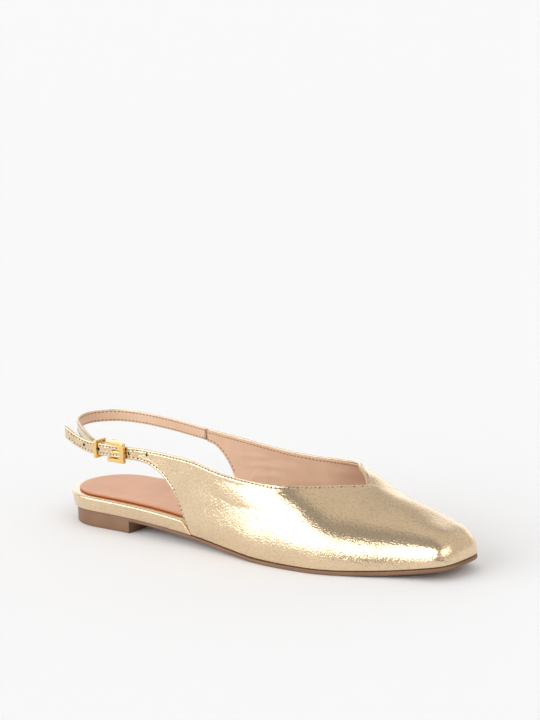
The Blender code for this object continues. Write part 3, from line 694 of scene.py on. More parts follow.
def billet_rows(steps, middle, lower=0.0):
    """Billet points behind the lateral wing, tail first, ending short of the wing."""
    run = np.linspace(0, 6.6, steps)
    centre = route(BILLET, run)
    way = unit(np.gradient(centre, axis=0))
    up = np.cross(sideways(way), way)
    up *= np.sign(up[:, 2:3])
    across = spread(STRAP_WIDTH - 2 * lower, middle) / STRAP_WIDTH * 2 - 1 + 2 * lower / STRAP_WIDTH
    # the tail's corners are rounded and it is cut on the slant, longest at the top
    begin = np.linalg.norm(centre - centre[0], axis=1)
    half = STRAP_WIDTH / 2 * (1 - 0.10 * np.clip(1 - begin / (1.0 * MM), 0, 1)**2)
    rows = centre[:, None, :] + up[:, None, :] * half[:, None, None] * across[None, :, None]
    slant = (1 - across) / 2 * TAIL_SLANT
    fade = np.clip(1 - begin / (7 * MM), 0, 1)
    rows += way[:, None, :] * (slant[None, :] * fade[:, None])[..., None]
    rows += way[:, None, :] * (lower * fade[:, None])[..., None]
    return rows


def wing_marks():
    """Stations of a wing, closer together where the rear edge runs down steeply."""
    marks = list(np.linspace(0.262, 0.335, 22))
    marks += list(np.linspace(0.338, REAR_END, 34))
    marks += list(np.linspace(0.399, V_POINT - 0.006, 84))
    return marks + [V_POINT - 0.003, V_POINT - 0.0012]


def vamp_marks():
    """Stations from the V point to the tip, close together at the crossing edge."""
    close = [V_POINT + x * MM / LENGTH for x in EDGE_ROWS]
    even = list(np.linspace(V_POINT + 4.2 * MM / LENGTH, 0.955, 52))
    return close + even + list(shares(0, [], 16))


def grid_faces(index, turned):
    """Quads of a grid of vertex numbers (stations by rows)."""
    a, b, c, d = index[:-1, :-1], index[1:, :-1], index[1:, 1:], index[:-1, 1:]
    quads = np.stack([a, b, c, d], -1).reshape(-1, 4)
    return quads[:, ::-1] if turned else quads


def point_normals(points, quads):
    """Normals of the points of a quad mesh."""
    corner = points[quads]
    face = np.cross(corner[:, 2] - corner[:, 0], corner[:, 3] - corner[:, 1])
    total = np.zeros_like(points)
    for k in range(4):
        np.add.at(total, quads[:, k], face)
    return total / np.maximum(np.linalg.norm(total, axis=1, keepdims=True), 1e-15)


def border(quads):
    """Directed edges that belong to one quad only."""
    pairs = np.concatenate([quads[:, [k, (k + 1) % 4]] for k in range(4)])
    pairs = pairs[pairs[:, 0] != pairs[:, 1]]
    key = np.sort(pairs, 1)
    _, first, count = np.unique(key, axis=0, return_index=True, return_counts=True)
    return pairs[first[count == 1]]


def distance_to(points, edges):
    """Distance of each point to the edges, which are read at close steps."""
    share = np.linspace(0, 1, 9)[None, :, None]
    ends = points[edges]
    marks = (ends[:, :1] * (1 - share) + ends[:, 1:] * share).reshape(-1, 3)
    tree = KDTree(len(marks))
    for k, mark in enumerate(marks):
        tree.insert(mark, k)
    tree.balance()
    return np.array([tree.find(p)[2] for p in points])


def beside(points, line, steps, bow=0.0):
    """Distance of the points from a line on the last, and the share run where it is least."""
    side, at, girth, to_at, to_girth = line
    run = np.linspace(0, 1, steps)
    marks = at + (to_at - at) * run
    share = girth + (to_girth - girth) * run + bow * np.sin(math.pi * run)
    middle = along_meridian(meridians(side, marks), share[:, None])[:, 0]
    apart = np.linalg.norm(points[:, None] - middle[None], axis=2)
    return apart.min(1), run[apart.argmin(1)]


def crease_height(points):
    """Height of the listed creases at the points."""
    total = np.zeros(len(points))
    for *line, width, depth in CREASES:
        away, where = beside(points, line, 15)
        fade = np.sqrt(np.clip(np.sin(math.pi * np.clip(where, 0.04, 0.96)), 0, 1))
        total += depth * MM * fade * np.exp(-(away / (width * MM))**2)
    return total


def unevenness(points, size, seed):
    """Gentle random swelling of the surface, between about -1 and 1."""
    shift = Vector((seed * 7.3, seed * 3.1, seed * 1.7))
    return np.array([noise.noise(Vector(p) / size + shift) for p in points])


def shell(name, points, quads, base, thick, outer_rise, inner_rise):
    """Closed sheet of a real thickness with a rounded rim, on one side of the points."""
    normal = point_normals(points, quads)
    rim = border(quads)
    away = distance_to(points, rim)
    half = thick / 2
    into = np.clip(half - away, 0, half)
    drop = half - np.sqrt(np.maximum(half**2 - into**2, 0))
    keep = np.clip(away / (1.2 * MM), 0, 1)
    outer = points + normal * (base - drop + outer_rise * keep)[:, None]
    inner = points + normal * (base - thick + drop + inner_rise * keep)[:, None]
    on_rim = np.zeros(len(points), bool)
    on_rim[rim.ravel()] = True
    outer[on_rim] = points[on_rim] + normal[on_rim] * (base[on_rim] - half)[:, None]
    twin = np.arange(len(points)) + len(points)
    twin[on_rim] = np.arange(len(points))[on_rim]
    faces = [tuple(dict.fromkeys(q)) for q in quads.tolist()]
    faces += [tuple(dict.fromkeys(q)) for q in twin[quads[:, ::-1]].tolist()]
    faces = [f for f in faces if len(f) > 2]
    used = sorted({v for f in faces for v in f})
    number = {v: k for k, v in enumerate(used)}
    everything = np.concatenate([outer, inner])
    mesh = bpy.data.meshes.new(name)
    mesh.from_pydata(everything[used].tolist(), [], [[number[v] for v in f] for f in faces])
    edge = mesh.attributes.new("edge", 'FLOAT', 'POINT')
    values = np.concatenate([away, away])[used] / MM
    edge.data.foreach_set("value", values.astype(np.float32))
    mesh.update()
    return mesh, outer, normal


def grids(middle, lower=0.0):
    """Lateral and medial grids of the whole upper and how many wing stations each has."""
    wing = wing_marks()
    marks = np.array(wing + vamp_marks())
    lateral = last_rows(-1, marks, middle, lower)
    medial = last_rows(1, marks, middle, lower)
    medial[len(wing):, -1] = lateral[len(wing):, -1]
    medial[-1] = lateral[-1]
    billet = billet_rows(56, middle, lower)
    lateral = np.concatenate([billet, lateral])
    return lateral, medial, len(billet), len(wing), marks


def fold_and_seam(away, seam):
    """Rise of the folded edge and the groove that the stitches pull, from the free edge."""
    fold = 0.10 * MM * (1 - ease((away / MM - seam - 0.3) / 1.6))
    groove = -0.13 * MM * np.exp(-((away / MM - seam) / 0.34)**2)
    return fold + groove


ROWS = 34
SEAM_IN = 1.45


def build_lateral():
    """The crossing panel: billet, lateral quarter and vamp to the medial feather."""
    lateral, medial, ahead, wing, marks = grids(ROWS)
    count, rows = lateral.shape[:2]
    left = np.arange(count * rows).reshape(count, rows)
    far = medial[wing:]
    right = np.arange(len(far) * rows).reshape(len(far), rows) + left.size
    right[:, -1] = left[ahead + wing:, -1]
    right[-1] = left[-1]
    points = np.concatenate([lateral.reshape(-1, 3), far.reshape(-1, 3)])
    quads = np.concatenate([grid_faces(left, False), grid_faces(right, True)])
    rim = border(quads)
    foot = np.zeros(len(points), bool)
    foot[left[ahead:, 0][marks > REAR_END - 0.001]] = True
    foot[right[:, 0]] = True
    free = rim[~(foot[rim[:, 0]] & foot[rim[:, 1]])]
    away = distance_to(points, free)
    rise = fold_and_seam(away, SEAM_IN) + crease_height(points)
    rise += 0.09 * MM * unevenness(points, 13 * MM, 1) + 0.04 * MM * unevenness(points, 5 * MM, 2)
    calm = np.zeros(len(points))
    mesh, outer, normal = shell("lateral", points, quads, calm, LEATHER, rise, calm)
    edges = {
        "top": (outer[left[:ahead + wing + 1, -1]], normal[left[:ahead + wing + 1, -1]]),
        "rear": (outer[left[:, 0]], normal[left[:, 0]]),
        "cross": (outer[right[0, ::-1]], normal[right[0, ::-1]]),
    }
    return mesh, edges


def build_medial():
    """Medial quarter: runs on under the crossing edge for 9 mm."""
    wing = wing_marks()
    under = [V_POINT + x * MM / LENGTH for x in (0.0, 0.8, 1.6, 2.6, 3.8, 5.2, 7.0, 9.0)]
    marks = np.array(wing + under)
    medial = last_rows(1, marks, ROWS)
    count, rows = medial.shape[:2]
    index = np.arange(count * rows).reshape(count, rows)
    points = medial.reshape(-1, 3)
    quads = grid_faces(index, True)
    rim = border(quads)
    foot = np.zeros(len(points), bool)
    foot[index[:, 0][marks > MEDIAL_FOOT]] = True
    foot[index[-1]] = True
    free = rim[~(foot[rim[:, 0]] & foot[rim[:, 1]])]
    away = distance_to(points, free)
    dip = STEP * (1 - ease((V_POINT - marks) / 0.06))
    dip += 0.35 * MM * ease((marks - V_POINT + 0.008) / 0.008)
    base = -np.repeat(dip, rows)
    rise = fold_and_seam(away, SEAM_IN) + crease_height(points)
    rise += 0.09 * MM * unevenness(points, 13 * MM, 3)
    calm = np.zeros(len(points))
    mesh, outer, normal = shell("medial", points, quads, base, LEATHER, rise, calm)
    edges = {
        "top": (outer[index[:len(wing), -1]], normal[index[:len(wing), -1]]),
        "rear": (outer[index[:, 0]], normal[index[:, 0]]),
    }
    return mesh, edges


lateral_mesh, lateral_edges = build_lateral()
medial_mesh, medial_edges = build_medial()


HOLE_SPACING = 10.9 * MM
HOLE_FIRST = 51.3 * MM
HOLE_RADIUS = 0.95 * MM
HOLE_SIDES = 20


def hole_places():
    """Placement of each punched hole, its axis turned outward from the billet."""
    line = route(BILLET, np.linspace(0, 8, 300))
    places = []
    for k in range(-2, 3):
        near = int(np.argmin(abs(line[:, 0] - HOLE_FIRST - k * HOLE_SPACING)))
        way = line[near + 1] - line[near]
        turn = Matrix.Rotation(math.atan2(way[1], way[0]), 4, 'Z')
        places.append(Matrix.Translation(line[near]) @ turn @ Matrix.Rotation(math.pi / 2, 4, 'X'))
    return places


def punch(mesh):
    """Cut the five round holes through the billet."""
    cutter = bmesh.new()
    for place in hole_places():
        made = bmesh.ops.create_cone(
            cutter, cap_ends=True, segments=HOLE_SIDES, radius1=HOLE_RADIUS, radius2=HOLE_RADIUS,
            depth=7 * MM,
        )
        bmesh.ops.transform(cutter, matrix=place, verts=made['verts'])
    tool = bpy.data.objects.new("holes", from_bmesh("holes", cutter))
    work = bpy.data.objects.new("work", mesh)
    for thing in (tool, work):
        bpy.context.scene.collection.objects.link(thing)
    cut = work.modifiers.new("holes", 'BOOLEAN')
    cut.operation = 'DIFFERENCE'
    cut.solver = 'EXACT'
    cut.object = tool
    graph = bpy.context.evaluated_depsgraph_get()
    result = bpy.data.meshes.new_from_object(work.evaluated_get(graph))
    bpy.data.objects.remove(work, do_unlink=True)
    bpy.data.objects.remove(tool, do_unlink=True)
    return result


def surface_tree(mesh):
    """Search tree over the faces of a mesh."""
    corners = [vertex.co[:] for vertex in mesh.vertices]
    return BVHTree.FromPolygons(corners, [face.vertices[:] for face in mesh.polygons])


lateral_tree = surface_tree(lateral_mesh)
medial_tree = surface_tree(medial_mesh)
set_piece("vamp_and_lateral_quarter", punch(lateral_mesh), GOLD, "upper")

# Medial quarter
# The second cut of the same leather. It goes under the vamp's crossing edge, so the
# surface steps down there, and its rear end is sewn to the sling strap.
set_piece("medial_quarter", medial_mesh, GOLD, "upper")

# Lining
# Tan leather glued inside both quarters and the vamp, trimmed just under the folded
# edge. It is slightly loose over the far quarter, where it wrinkles.


def tan_leather():
    """Smooth tan lining leather with a faint sheen."""
    made, tree, bsdf = shader("tan_leather", (0.73, 0.535, 0.385), 0.42)
    mottle(tree, bsdf, 55.0, 4.0, (0.66, 0.45, 0.305), (0.745, 0.535, 0.385))
    pores = grain(tree, "ShaderNodeTexVoronoi", 1300.0, feature='SMOOTH_F1')
    bump(tree, bsdf, pores.outputs["Distance"], 0.15, 0.08 * MM)
    return made


TAN = tan_leather()

GLUE = 0.03 * MM
LINING_SHORT = 0.5 * MM

# Wrinkles of the lining inside the medial quarter, placed like the creases
WRINKLES = (
    # side, along, girth, to along, to girth, width mm, depth mm
    (1, 0.335, 0.30, 0.430, 0.345, 1.2, 0.42),
    (1, 0.345, 0.25, 0.470, 0.315, 1.1, 0.44),
    (1, 0.370, 0.20, 0.455, 0.255, 1.2, 0.40),
    (1, 0.400, 0.33, 0.500, 0.375, 1.3, -0.36),
    (1, 0.360, 0.15, 0.400, 0.27, 1.1, 0.36),
    (1, 0.450, 0.22, 0.560, 0.30, 2.2, 0.24),
    (1, 0.540, 0.36, 0.660, 0.50, 2.2, 0.30),
    (1, 0.560, 0.30, 0.690, 0.42, 2.6, -0.28),
    (1, 0.600, 0.46, 0.700, 0.66, 2.0, 0.30),
)


def wrinkle_height(points):
    """Height of the lining's wrinkles at the points, each bowed a little upward."""
    total = np.zeros(len(points))
    for *line, width, depth in WRINKLES:
        away, where = beside(points, line, 25, 0.012)
        fade = np.sin(math.pi * np.clip(where, 0.02, 0.98))
        total += depth * MM * fade * np.exp(-(away / (width * MM))**2)
    return total


def build_lining():
    """Inner sheet over the whole upper, a little short of the folded edge."""
    lateral, medial, ahead, wing, marks = grids(30, LINING_SHORT)
    count, rows = lateral.shape[:2]
    left = np.arange(count * rows).reshape(count, rows)
    right = np.arange(medial.shape[0] * rows).reshape(-1, rows) + left.size
    right[wing:, -1] = left[ahead + wing:, -1]
    right[-1] = left[-1]
    points = np.concatenate([lateral.reshape(-1, 3), medial.reshape(-1, 3)])
    quads = np.concatenate([grid_faces(left, False), grid_faces(right, True)])
    dip = STEP * (1 - ease((V_POINT - marks) / 0.06)) * (marks < V_POINT)
    base = np.full(len(points), -LEATHER - GLUE)
    base[right[:wing].ravel()] -= np.repeat(dip[:wing], rows)
    loose = wrinkle_height(points) - 0.06 * MM * unevenness(points, 8 * MM, 5)
    calm = np.zeros(len(points))
    return shell("lining", points, quads, base, LINING, calm, -loose)[0]


lining_mesh = build_lining()
lining_tree = surface_tree(lining_mesh)
set_piece("lining", punch(lining_mesh), TAN, "upper")

# Punched hole edges
# Raw leather core inside each punched hole, sealed with dark edge paint.


def build_hole_edges():
    """A painted ring in each hole, set between the lining and the leather's face."""
    mesh = bmesh.new()
    outside = 6 * MM
    for place in hole_places():
        inward = place.to_3x3() @ Vector((0.0, 0.0, -1.0))
        reach = lining_tree.ray_cast(place.translation - inward * outside, inward)[3]
        sunk = 0.0 if reach is None else reach - outside - LEATHER - GLUE
        rings = []
        for radius, depth in ((0.93, 0.10), (0.93, 1.62), (0.76, 1.56), (0.76, 0.16)):
            ring = []
            for k in range(HOLE_SIDES):
                turn = math.tau * k / HOLE_SIDES
                spot = Vector((radius * math.cos(turn), radius * math.sin(turn), -depth)) * MM
                ring.append(mesh.verts.new(place @ spot + inward * sunk))
            rings.append(ring)
        for low, high in zip(rings, rings[1:] + rings[:1]):
            for k in range(HOLE_SIDES):
                on = (k + 1) % HOLE_SIDES
                mesh.faces.new((low[k], low[on], high[on], high[k]))
    bmesh.ops.recalc_face_normals(mesh, faces=mesh.faces)
    paint = shader("edge_paint", (0.10, 0.05, 0.027), 0.6)[0]
    return set_piece("hole_edges", from_bmesh("hole_edges", mesh), paint, "upper")


build_hole_edges()

# Sling strap
# Folded gold leather outside and a tan backing inside, sewn along both edges. It starts
# at the medial seam, goes round the heel and turns back round the buckle's pivot bar.
STRAP_THICK = 1.4 * MM
FRAME_LENGTH = 12.6 * MM
FRAME_HEIGHT = 10.9 * MM
PIVOT_BAR = 1.5 * MM
PIVOT_DEPTH = -3.7 * MM
FOLD_RUN = 7 * MM
JOINT_COVER = 0.45 * MM
BUCKLE_AT = Vector((0.2101 * LENGTH, -0.3948 * BALL_WIDTH, 0.8103 * INSTEP_HEIGHT))

# Middle of the strap's outer face from the medial seam round the heel, as for BILLET
SLING = (
    # run, along, side, height
    (0.0, 0.2682, 0.3558, 0.8086),
    (1.0, 0.2326, 0.3662, 0.8224),
    (2.0, 0.1938, 0.3714, 0.8397),
    (3.0, 0.1473, 0.3727, 0.8586),
    (4.0, 0.1008, 0.3675, 0.8741),
    (5.0, 0.0620, 0.3506, 0.8845),
    (6.0, 0.0291, 0.3169, 0.8897),
    (7.0, 0.0039, 0.2571, 0.8914),
    (8.0, -0.0105, 0.1766, 0.8931),
    (9.0, -0.0132, 0.0831, 0.8931),
    (10.0, -0.0047, -0.0117, 0.8914),
    (11.0, 0.0140, -0.0961, 0.8879),
    (12.0, 0.0388, -0.1688, 0.8793),
    (13.0, 0.0674, -0.2364, 0.8638),
    (14.0, 0.0977, -0.2987, 0.8431),
    (15.0, 0.1264, -0.3494, 0.8241),
    (16.0, 0.1512, -0.3740, 0.8121),
    (17.0, 0.1667, -0.3786, 0.8103),
)


def local(run, depth, up=0.0):
    """Point in the buckle's frame: along the shoe, outward from the billet, up."""
    return np.array([BUCKLE_AT.x + run, BUCKLE_AT.y - depth, BUCKLE_AT.z + up])


def sling_path():
    """Middle line of the strap with its outward sides, through the turn and back."""
    run = np.linspace(0, 17, 170)
    outer = route(SLING, run)
    way = np.gradient(outer, axis=0)
    out = unit(sideways(way))
    middle = outer - out * STRAP_THICK / 2
    middle[0] -= way[0] / np.linalg.norm(way[0]) * JOINT_COVER
    centre = -FRAME_LENGTH / 2 + PIVOT_BAR / 2
    radius = PIVOT_BAR / 2 + GAP + STRAP_THICK / 2
    turn = []
    turn_out = []
    for k in range(17):
        angle = math.pi / 2 - math.pi * k / 16
        turn.append(local(centre + radius * math.cos(angle), PIVOT_DEPTH + radius * math.sin(angle)))
        turn_out.append((math.cos(angle), -math.sin(angle), 0.0))
    back = []
    back_out = []
    for behind in np.linspace(9.0, 19.2, 12) * MM:
        i = int(np.argmin(abs(middle[90:, 0] - BUCKLE_AT.x + behind))) + 90
        share = float(ease((behind - 6.2 * MM) / FOLD_RUN))
        wide = (1 - share) * (turn[-1][1] - turn[0][1]) + share * (STRAP_THICK + GAP)
        back.append(middle[i] - out[i] * wide)
        back_out.append(-out[i])
    line = np.concatenate([middle, np.array(turn), np.array(back)])
    side = np.concatenate([out, np.array(turn_out), np.array(back_out)])
    way = unit(np.gradient(line, axis=0))
    up = unit(np.cross(way, side))
    return line, np.cross(up, way), up, way


def ribbon(name, line, out, up, section):
    """Band swept along a line; section holds (outward, up) in metres round the band."""
    rows = line[:, None] + out[:, None] * section[None, :, :1] + up[:, None] * section[None, :, 1:]
    count = section.shape[0]
    index = np.arange(len(line) * count).reshape(len(line), count)
    closed = np.concatenate([index, index[:, :1]], 1)
    quads = grid_faces(closed, True).tolist() + [index[0].tolist(), index[-1, ::-1].tolist()]
    mesh = bmesh.new()
    verts = [mesh.verts.new(p) for p in rows.reshape(-1, 3)]
    for quad in quads:
        mesh.faces.new([verts[v] for v in quad])
    bmesh.ops.recalc_face_normals(mesh, faces=mesh.faces)
    return from_bmesh(name, mesh)


def strap_section(low, high, half, corner):
    """Closed outline of a band from depth low to high and half a width each way."""
    points = []
    for x, y, start in ((high, half, 0), (low, half, 90), (low, -half, 180), (high, -half, 270)):
        cx = x - corner if x == high else x + corner
        cy = y - corner if y > 0 else y + corner
        for k in range(5):
            turn = math.radians(start + 90 * k / 4)
            points.append((cx + corner * math.cos(turn), cy + corner * math.sin(turn)))
        if start == 90:
            points += [(low, half * s) for s in (0.6, 0.3, 0.0, -0.3, -0.6)]
        if start == 270:
            points += [(high, half * s) for s in (-0.6, -0.3, 0.0, 0.3, 0.6)]
    return np.array(points)


STRAP_LINE, STRAP_OUT, STRAP_UP, STRAP_WAY = sling_path()
half_strap = STRAP_WIDTH / 2
outside = strap_section(-0.10 * MM, STRAP_THICK / 2, half_strap, 0.34 * MM)
inside = strap_section(-STRAP_THICK / 2, -0.12 * MM, half_strap - 0.30 * MM, 0.22 * MM)
strap_mesh = ribbon("strap", STRAP_LINE, STRAP_OUT, STRAP_UP, outside)
set_piece("strap_leather", strap_mesh, GOLD, "sling_strap")
backing_mesh = ribbon("backing", STRAP_LINE, STRAP_OUT, STRAP_UP, inside)
set_piece("strap_backing", backing_mesh, TAN, "sling_strap")

# Stitches
# Waxed champagne thread in small even stitches, each pulled into its needle holes; their shade
# is painted as near-black dots. Rows run 1.45 mm inside every free edge and along both strap edges.
PITCH = 2.3 * MM


def thread_paint(name, colour, roughness):
    """Thread colour, or the painted shade of needle holes, with the fine relief of a twist."""
    made, tree, bsdf = shader(name, colour, roughness)
    twist = grain(tree, "ShaderNodeTexNoise", 3500.0, Detail=1.0)
    bump(tree, bsdf, twist.outputs["Fac"], 0.3, 0.05 * MM)
    return made


THREAD = thread_paint("thread", (0.66, 0.52, 0.34), 0.5)
TAN_THREAD = thread_paint("tan_thread", (0.26, 0.15, 0.09), 0.6)
# near-black: painted shade inside the needle holes
HOLE_SHADE = thread_paint("painted_hole_shade", (0.03, 0.018, 0.01), 0.9)


def reckon(tree, operation, *terms):
    """Output of a math node on other outputs and plain numbers."""
    node = add_node(tree, "ShaderNodeMath", operation=operation)
    for term, socket in zip(terms, node.inputs):
        if isinstance(term, float):
            socket.default_value = term
        else:
            tree.links.new(term, socket)
    return node.outputs[0]


def path_tree():
    """Geometry nodes: one small rounded piece at every pitch of a path."""
    tree = bpy.data.node_groups.new("pieces_on_path", 'GeometryNodeTree')
    sockets = [("Geometry", "Geometry")]
    sockets += [(name, "Float") for name in ("Pitch", "Long", "Wide", "Tall", "Rise", "Jitter")]
    sockets += [("Seed", "Int"), ("Material", "Material")]
    for name, kind in sockets:
        tree.interface.new_socket(name, in_out='INPUT', socket_type="NodeSocket" + kind)
    tree.interface.new_socket("Geometry", in_out='OUTPUT', socket_type="NodeSocketGeometry")
    source = add_node(tree, "NodeGroupInput")
    target = add_node(tree, "NodeGroupOutput")
    to_curve = add_node(tree, "GeometryNodeMeshToCurve")
    resample = add_node(tree, "GeometryNodeResampleCurve", mode='LENGTH')
    ball = add_node(tree, "GeometryNodeMeshUVSphere", Segments=8, Rings=6, Radius=0.5)
    size = add_node(tree, "ShaderNodeCombineXYZ")
    lift = add_node(tree, "ShaderNodeCombineXYZ")
    shape = add_node(tree, "GeometryNodeTransform")
    way = add_node(tree, "GeometryNodeInputTangent")
    out = add_node(tree, "GeometryNodeInputNamedAttribute", data_type='FLOAT_VECTOR', Name="out")
    turn = add_node(tree, "FunctionNodeAxesToRotation", primary_axis='Z', secondary_axis='X')
    chance = add_node(tree, "FunctionNodeRandomValue", data_type='FLOAT_VECTOR')
    place = add_node(tree, "GeometryNodeInstanceOnPoints")
    shift = add_node(tree, "GeometryNodeTranslateInstances")
    real = add_node(tree, "GeometryNodeRealizeInstances")
    paint = add_node(tree, "GeometryNodeSetMaterial")
    for start, output, end, into in (
        (source, "Geometry", to_curve, "Mesh"),
        (to_curve, "Curve", resample, "Curve"),
        (source, "Pitch", resample, "Length"),
        (ball, "Mesh", shape, "Geometry"),
        (source, "Long", size, "X"),
        (source, "Wide", size, "Y"),
        (source, "Tall", size, "Z"),
        (size, "Vector", shape, "Scale"),
        (source, "Rise", lift, "Z"),
        (lift, "Vector", shape, "Translation"),
        (out, "Attribute", turn, "Primary Axis"),
        (way, "Tangent", turn, "Secondary Axis"),
        (source, "Jitter", chance, "Max"),
        (source, "Seed", chance, "Seed"),
        (resample, "Curve", place, "Points"),
        (shape, "Geometry", place, "Instance"),
        (turn, "Rotation", place, "Rotation"),
        (place, "Instances", shift, "Instances"),
        (chance, "Value", shift, "Translation"),
        (shift, "Instances", real, "Geometry"),
        (real, "Geometry", paint, "Geometry"),
        (source, "Material", paint, "Material"),
        (paint, "Geometry", target, "Geometry"),
    ):
        tree.links.new(start.outputs[output], end.inputs[into])
    least = reckon(tree, 'MULTIPLY', source.outputs["Jitter"], -1.0)
    tree.links.new(least, chance.inputs["Min"])
    return tree


PATH_TREE = path_tree()


def along_path(name, paths, material, node, slot, start=0.0, **sizes):
    """A row of small pieces on each path, as one plain mesh; a path is (points, outs)."""
    points = []
    outs = []
    edges = []
    for line, out in paths:
        line, out = trimmed(line, out, start)
        edges += [(len(points) + k, len(points) + k + 1) for k in range(len(line) - 1)]
        points += [tuple(p) for p in line]
        outs += [tuple(o) for o in out]
    mesh = bpy.data.meshes.new(name)
    mesh.from_pydata(points, edges, [])
    layer = mesh.attributes.new("out", 'FLOAT_VECTOR', 'POINT')
    layer.data.foreach_set("vector", np.array(outs, np.float32).ravel())
    work = bpy.data.objects.new(name + "_work", mesh)
    bpy.context.scene.collection.objects.link(work)
    nodes = work.modifiers.new("row", 'NODES')
    nodes.node_group = PATH_TREE
    values = {"Pitch": PITCH, "Jitter": 0.04 * MM, "Seed": 1, "Material": material, **sizes}
    for item in PATH_TREE.interface.items_tree:
        if item.in_out == 'INPUT' and item.name in values:
            nodes[item.identifier] = values[item.name]
    graph = bpy.context.evaluated_depsgraph_get()
    made = bpy.data.meshes.new_from_object(work.evaluated_get(graph))
    bpy.data.objects.remove(work, do_unlink=True)
    made.name = name
    return set_piece(name, made, material, node)


def run_along(line):
    """Length run at each point of a line."""
    steps = np.linalg.norm(np.diff(line, axis=0), axis=1)
    return np.concatenate([[0], np.cumsum(steps)])


def read_at(rows, run, at):
    """Points or directions of a path read at other lengths of its run."""
    return np.stack([np.interp(at, run, rows[:, k]) for k in range(3)], -1)


def trimmed(line, out, start):
    """The path with a length cut off its beginning."""
    run = run_along(line)
    keep = np.concatenate([[start], run[run > start + 1e-6]])
    return read_at(line, run, keep), read_at(out, run, keep)


def inward(edge, tree, distance, sign):
    """Path at a distance inside an edge, laid on the surface."""
    line, normal = edge
    run = run_along(line)
    even = np.arange(0, run[-1], 0.8 * MM)
    line = read_at(line, run, even)
    normal = read_at(normal, run, even)
    into = unit(np.cross(normal, np.gradient(line, axis=0)) * sign)
    places = []
    outs = []
    for p, n, i in zip(line, normal, into):
        place, face_normal, _, _ = tree.find_nearest(Vector(p + i * distance + n * 0.5 * MM))
        places.append(place[:])
        outs.append(face_normal[:])
    return np.array(places), np.array(outs)


def part_of(path, low, high):
    """The stretch of a path between two lengths along the shoe, in millimetres."""
    line, out = path
    keep = (line[:, 0] >= low * MM) & (line[:, 0] <= high * MM)
    return line[keep], out[keep]


seam = SEAM_IN * MM
top_seam = part_of(inward(lateral_edges["top"], lateral_tree, seam, -1), 17, 197)
rear_seam = part_of(inward(lateral_edges["rear"], lateral_tree, seam, 1), 17, 101)
far_top = part_of(inward(medial_edges["top"], medial_tree, seam, 1), 69, 195)
far_rear = part_of(inward(medial_edges["rear"], medial_tree, seam, -1), 69, 90)
gold_seams = [top_seam, rear_seam, far_top, far_rear]
stitch = {"Long": 1.45 * MM, "Wide": 0.44 * MM, "Tall": 0.34 * MM, "Rise": 0.02 * MM}
along_path("upper_stitches", gold_seams, THREAD, "upper", "gold_leather",
           start=PITCH / 2, **stitch)
# the needle holes as near-black dots of painted shade
hole_shade_dot = {"Long": 1.15 * MM, "Wide": 0.86 * MM, "Tall": 0.34 * MM, "Rise": 0.0}
along_path("upper_painted_hole_shade", gold_seams, HOLE_SHADE, "upper", "gold_leather", **hole_shade_dot)


def inner_row(edge, sign, low, high):
    """Seam row on the inner face of the lining."""
    line, normal = edge
    deep = (line - normal * 2.4 * MM, -normal)
    return part_of(inward(deep, lining_tree, seam + 0.3 * MM, -sign), low, high)


inner_rows = [
    inner_row(medial_edges["top"], 1, 70, 194),
    inner_row(medial_edges["rear"], -1, 70, 90),
    inner_row(lateral_edges["top"], -1, 62, 194),
    inner_row(lateral_edges["rear"], 1, 62, 100),
]
dash = {"Long": 1.6 * MM, "Wide": 0.72 * MM, "Tall": 0.34 * MM, "Rise": 0.02 * MM}
along_path("lining_stitches", inner_rows, TAN_THREAD, "upper", "tan_leather", **dash)

strap_rows_out = []
strap_rows_in = []
for edge in (-1, 1):
    shift = STRAP_UP * edge * (half_strap - 1.05 * MM)
    strap_rows_out.append((STRAP_LINE + STRAP_OUT * STRAP_THICK / 2 + shift, STRAP_OUT))
    strap_rows_in.append((STRAP_LINE - STRAP_OUT * STRAP_THICK / 2 + shift, -STRAP_OUT))
along_path("strap_stitches", strap_rows_out, THREAD, "sling_strap", "gold_leather",
           start=PITCH / 2, **stitch)
# the strap's needle holes as near-black dots of painted shade
along_path("strap_painted_hole_shade", strap_rows_out, HOLE_SHADE, "sling_strap", "gold_leather", **hole_shade_dot)
along_path("strap_backing_stitches", strap_rows_in, TAN_THREAD, "sling_strap", "tan_leather",
           **dash)

# the row that sews the strap's end to the medial quarter, seen from both sides, drawn as near-black
# dots of painted hole shade
joint_rows = []
for face in (-1, 1):
    across = np.linspace(-2.9, 2.9, 12)[:, None] * MM
    middle = STRAP_LINE[0] + STRAP_WAY[0] * 0.55 * MM + STRAP_OUT[0] * face * STRAP_THICK / 2
    outs = np.repeat([STRAP_OUT[0] * face], len(across), 0)
    joint_rows.append((middle + STRAP_UP[0] * across, outs))
along_path("joint_stitch_hole_shade", joint_rows, HOLE_SHADE, "sling_strap", "tan_leather", Pitch=1.1 * MM,
           Long=0.75 * MM, Wide=0.45 * MM, Tall=0.28 * MM, Rise=0.0)

# Buckle frame
# Cast and polished gold-plated frame: a wide front bar, two rails that dip behind the
# billet, and the pivot bar. Its edges are softened by the polishing.
WALL = 1.8 * MM
FRAME_RAIL = 1.6 * MM
FRONT_BAR = 3.1 * MM
BAR_DEPTH = 2.2 * MM
BAR_PROUD = 0.04 * MM


def gold_brass():
    """Polished gold plate with faint polishing marks."""
    made, tree, bsdf = shader("gold_brass", (0.90, 0.62, 0.24), 0.20, 1.0)
    marks = grain(tree, "ShaderNodeTexNoise", 900.0, Detail=3.0)
    bump(tree, bsdf, marks.outputs["Fac"], 0.06, 0.05 * MM)
    return made


BRASS = gold_brass()


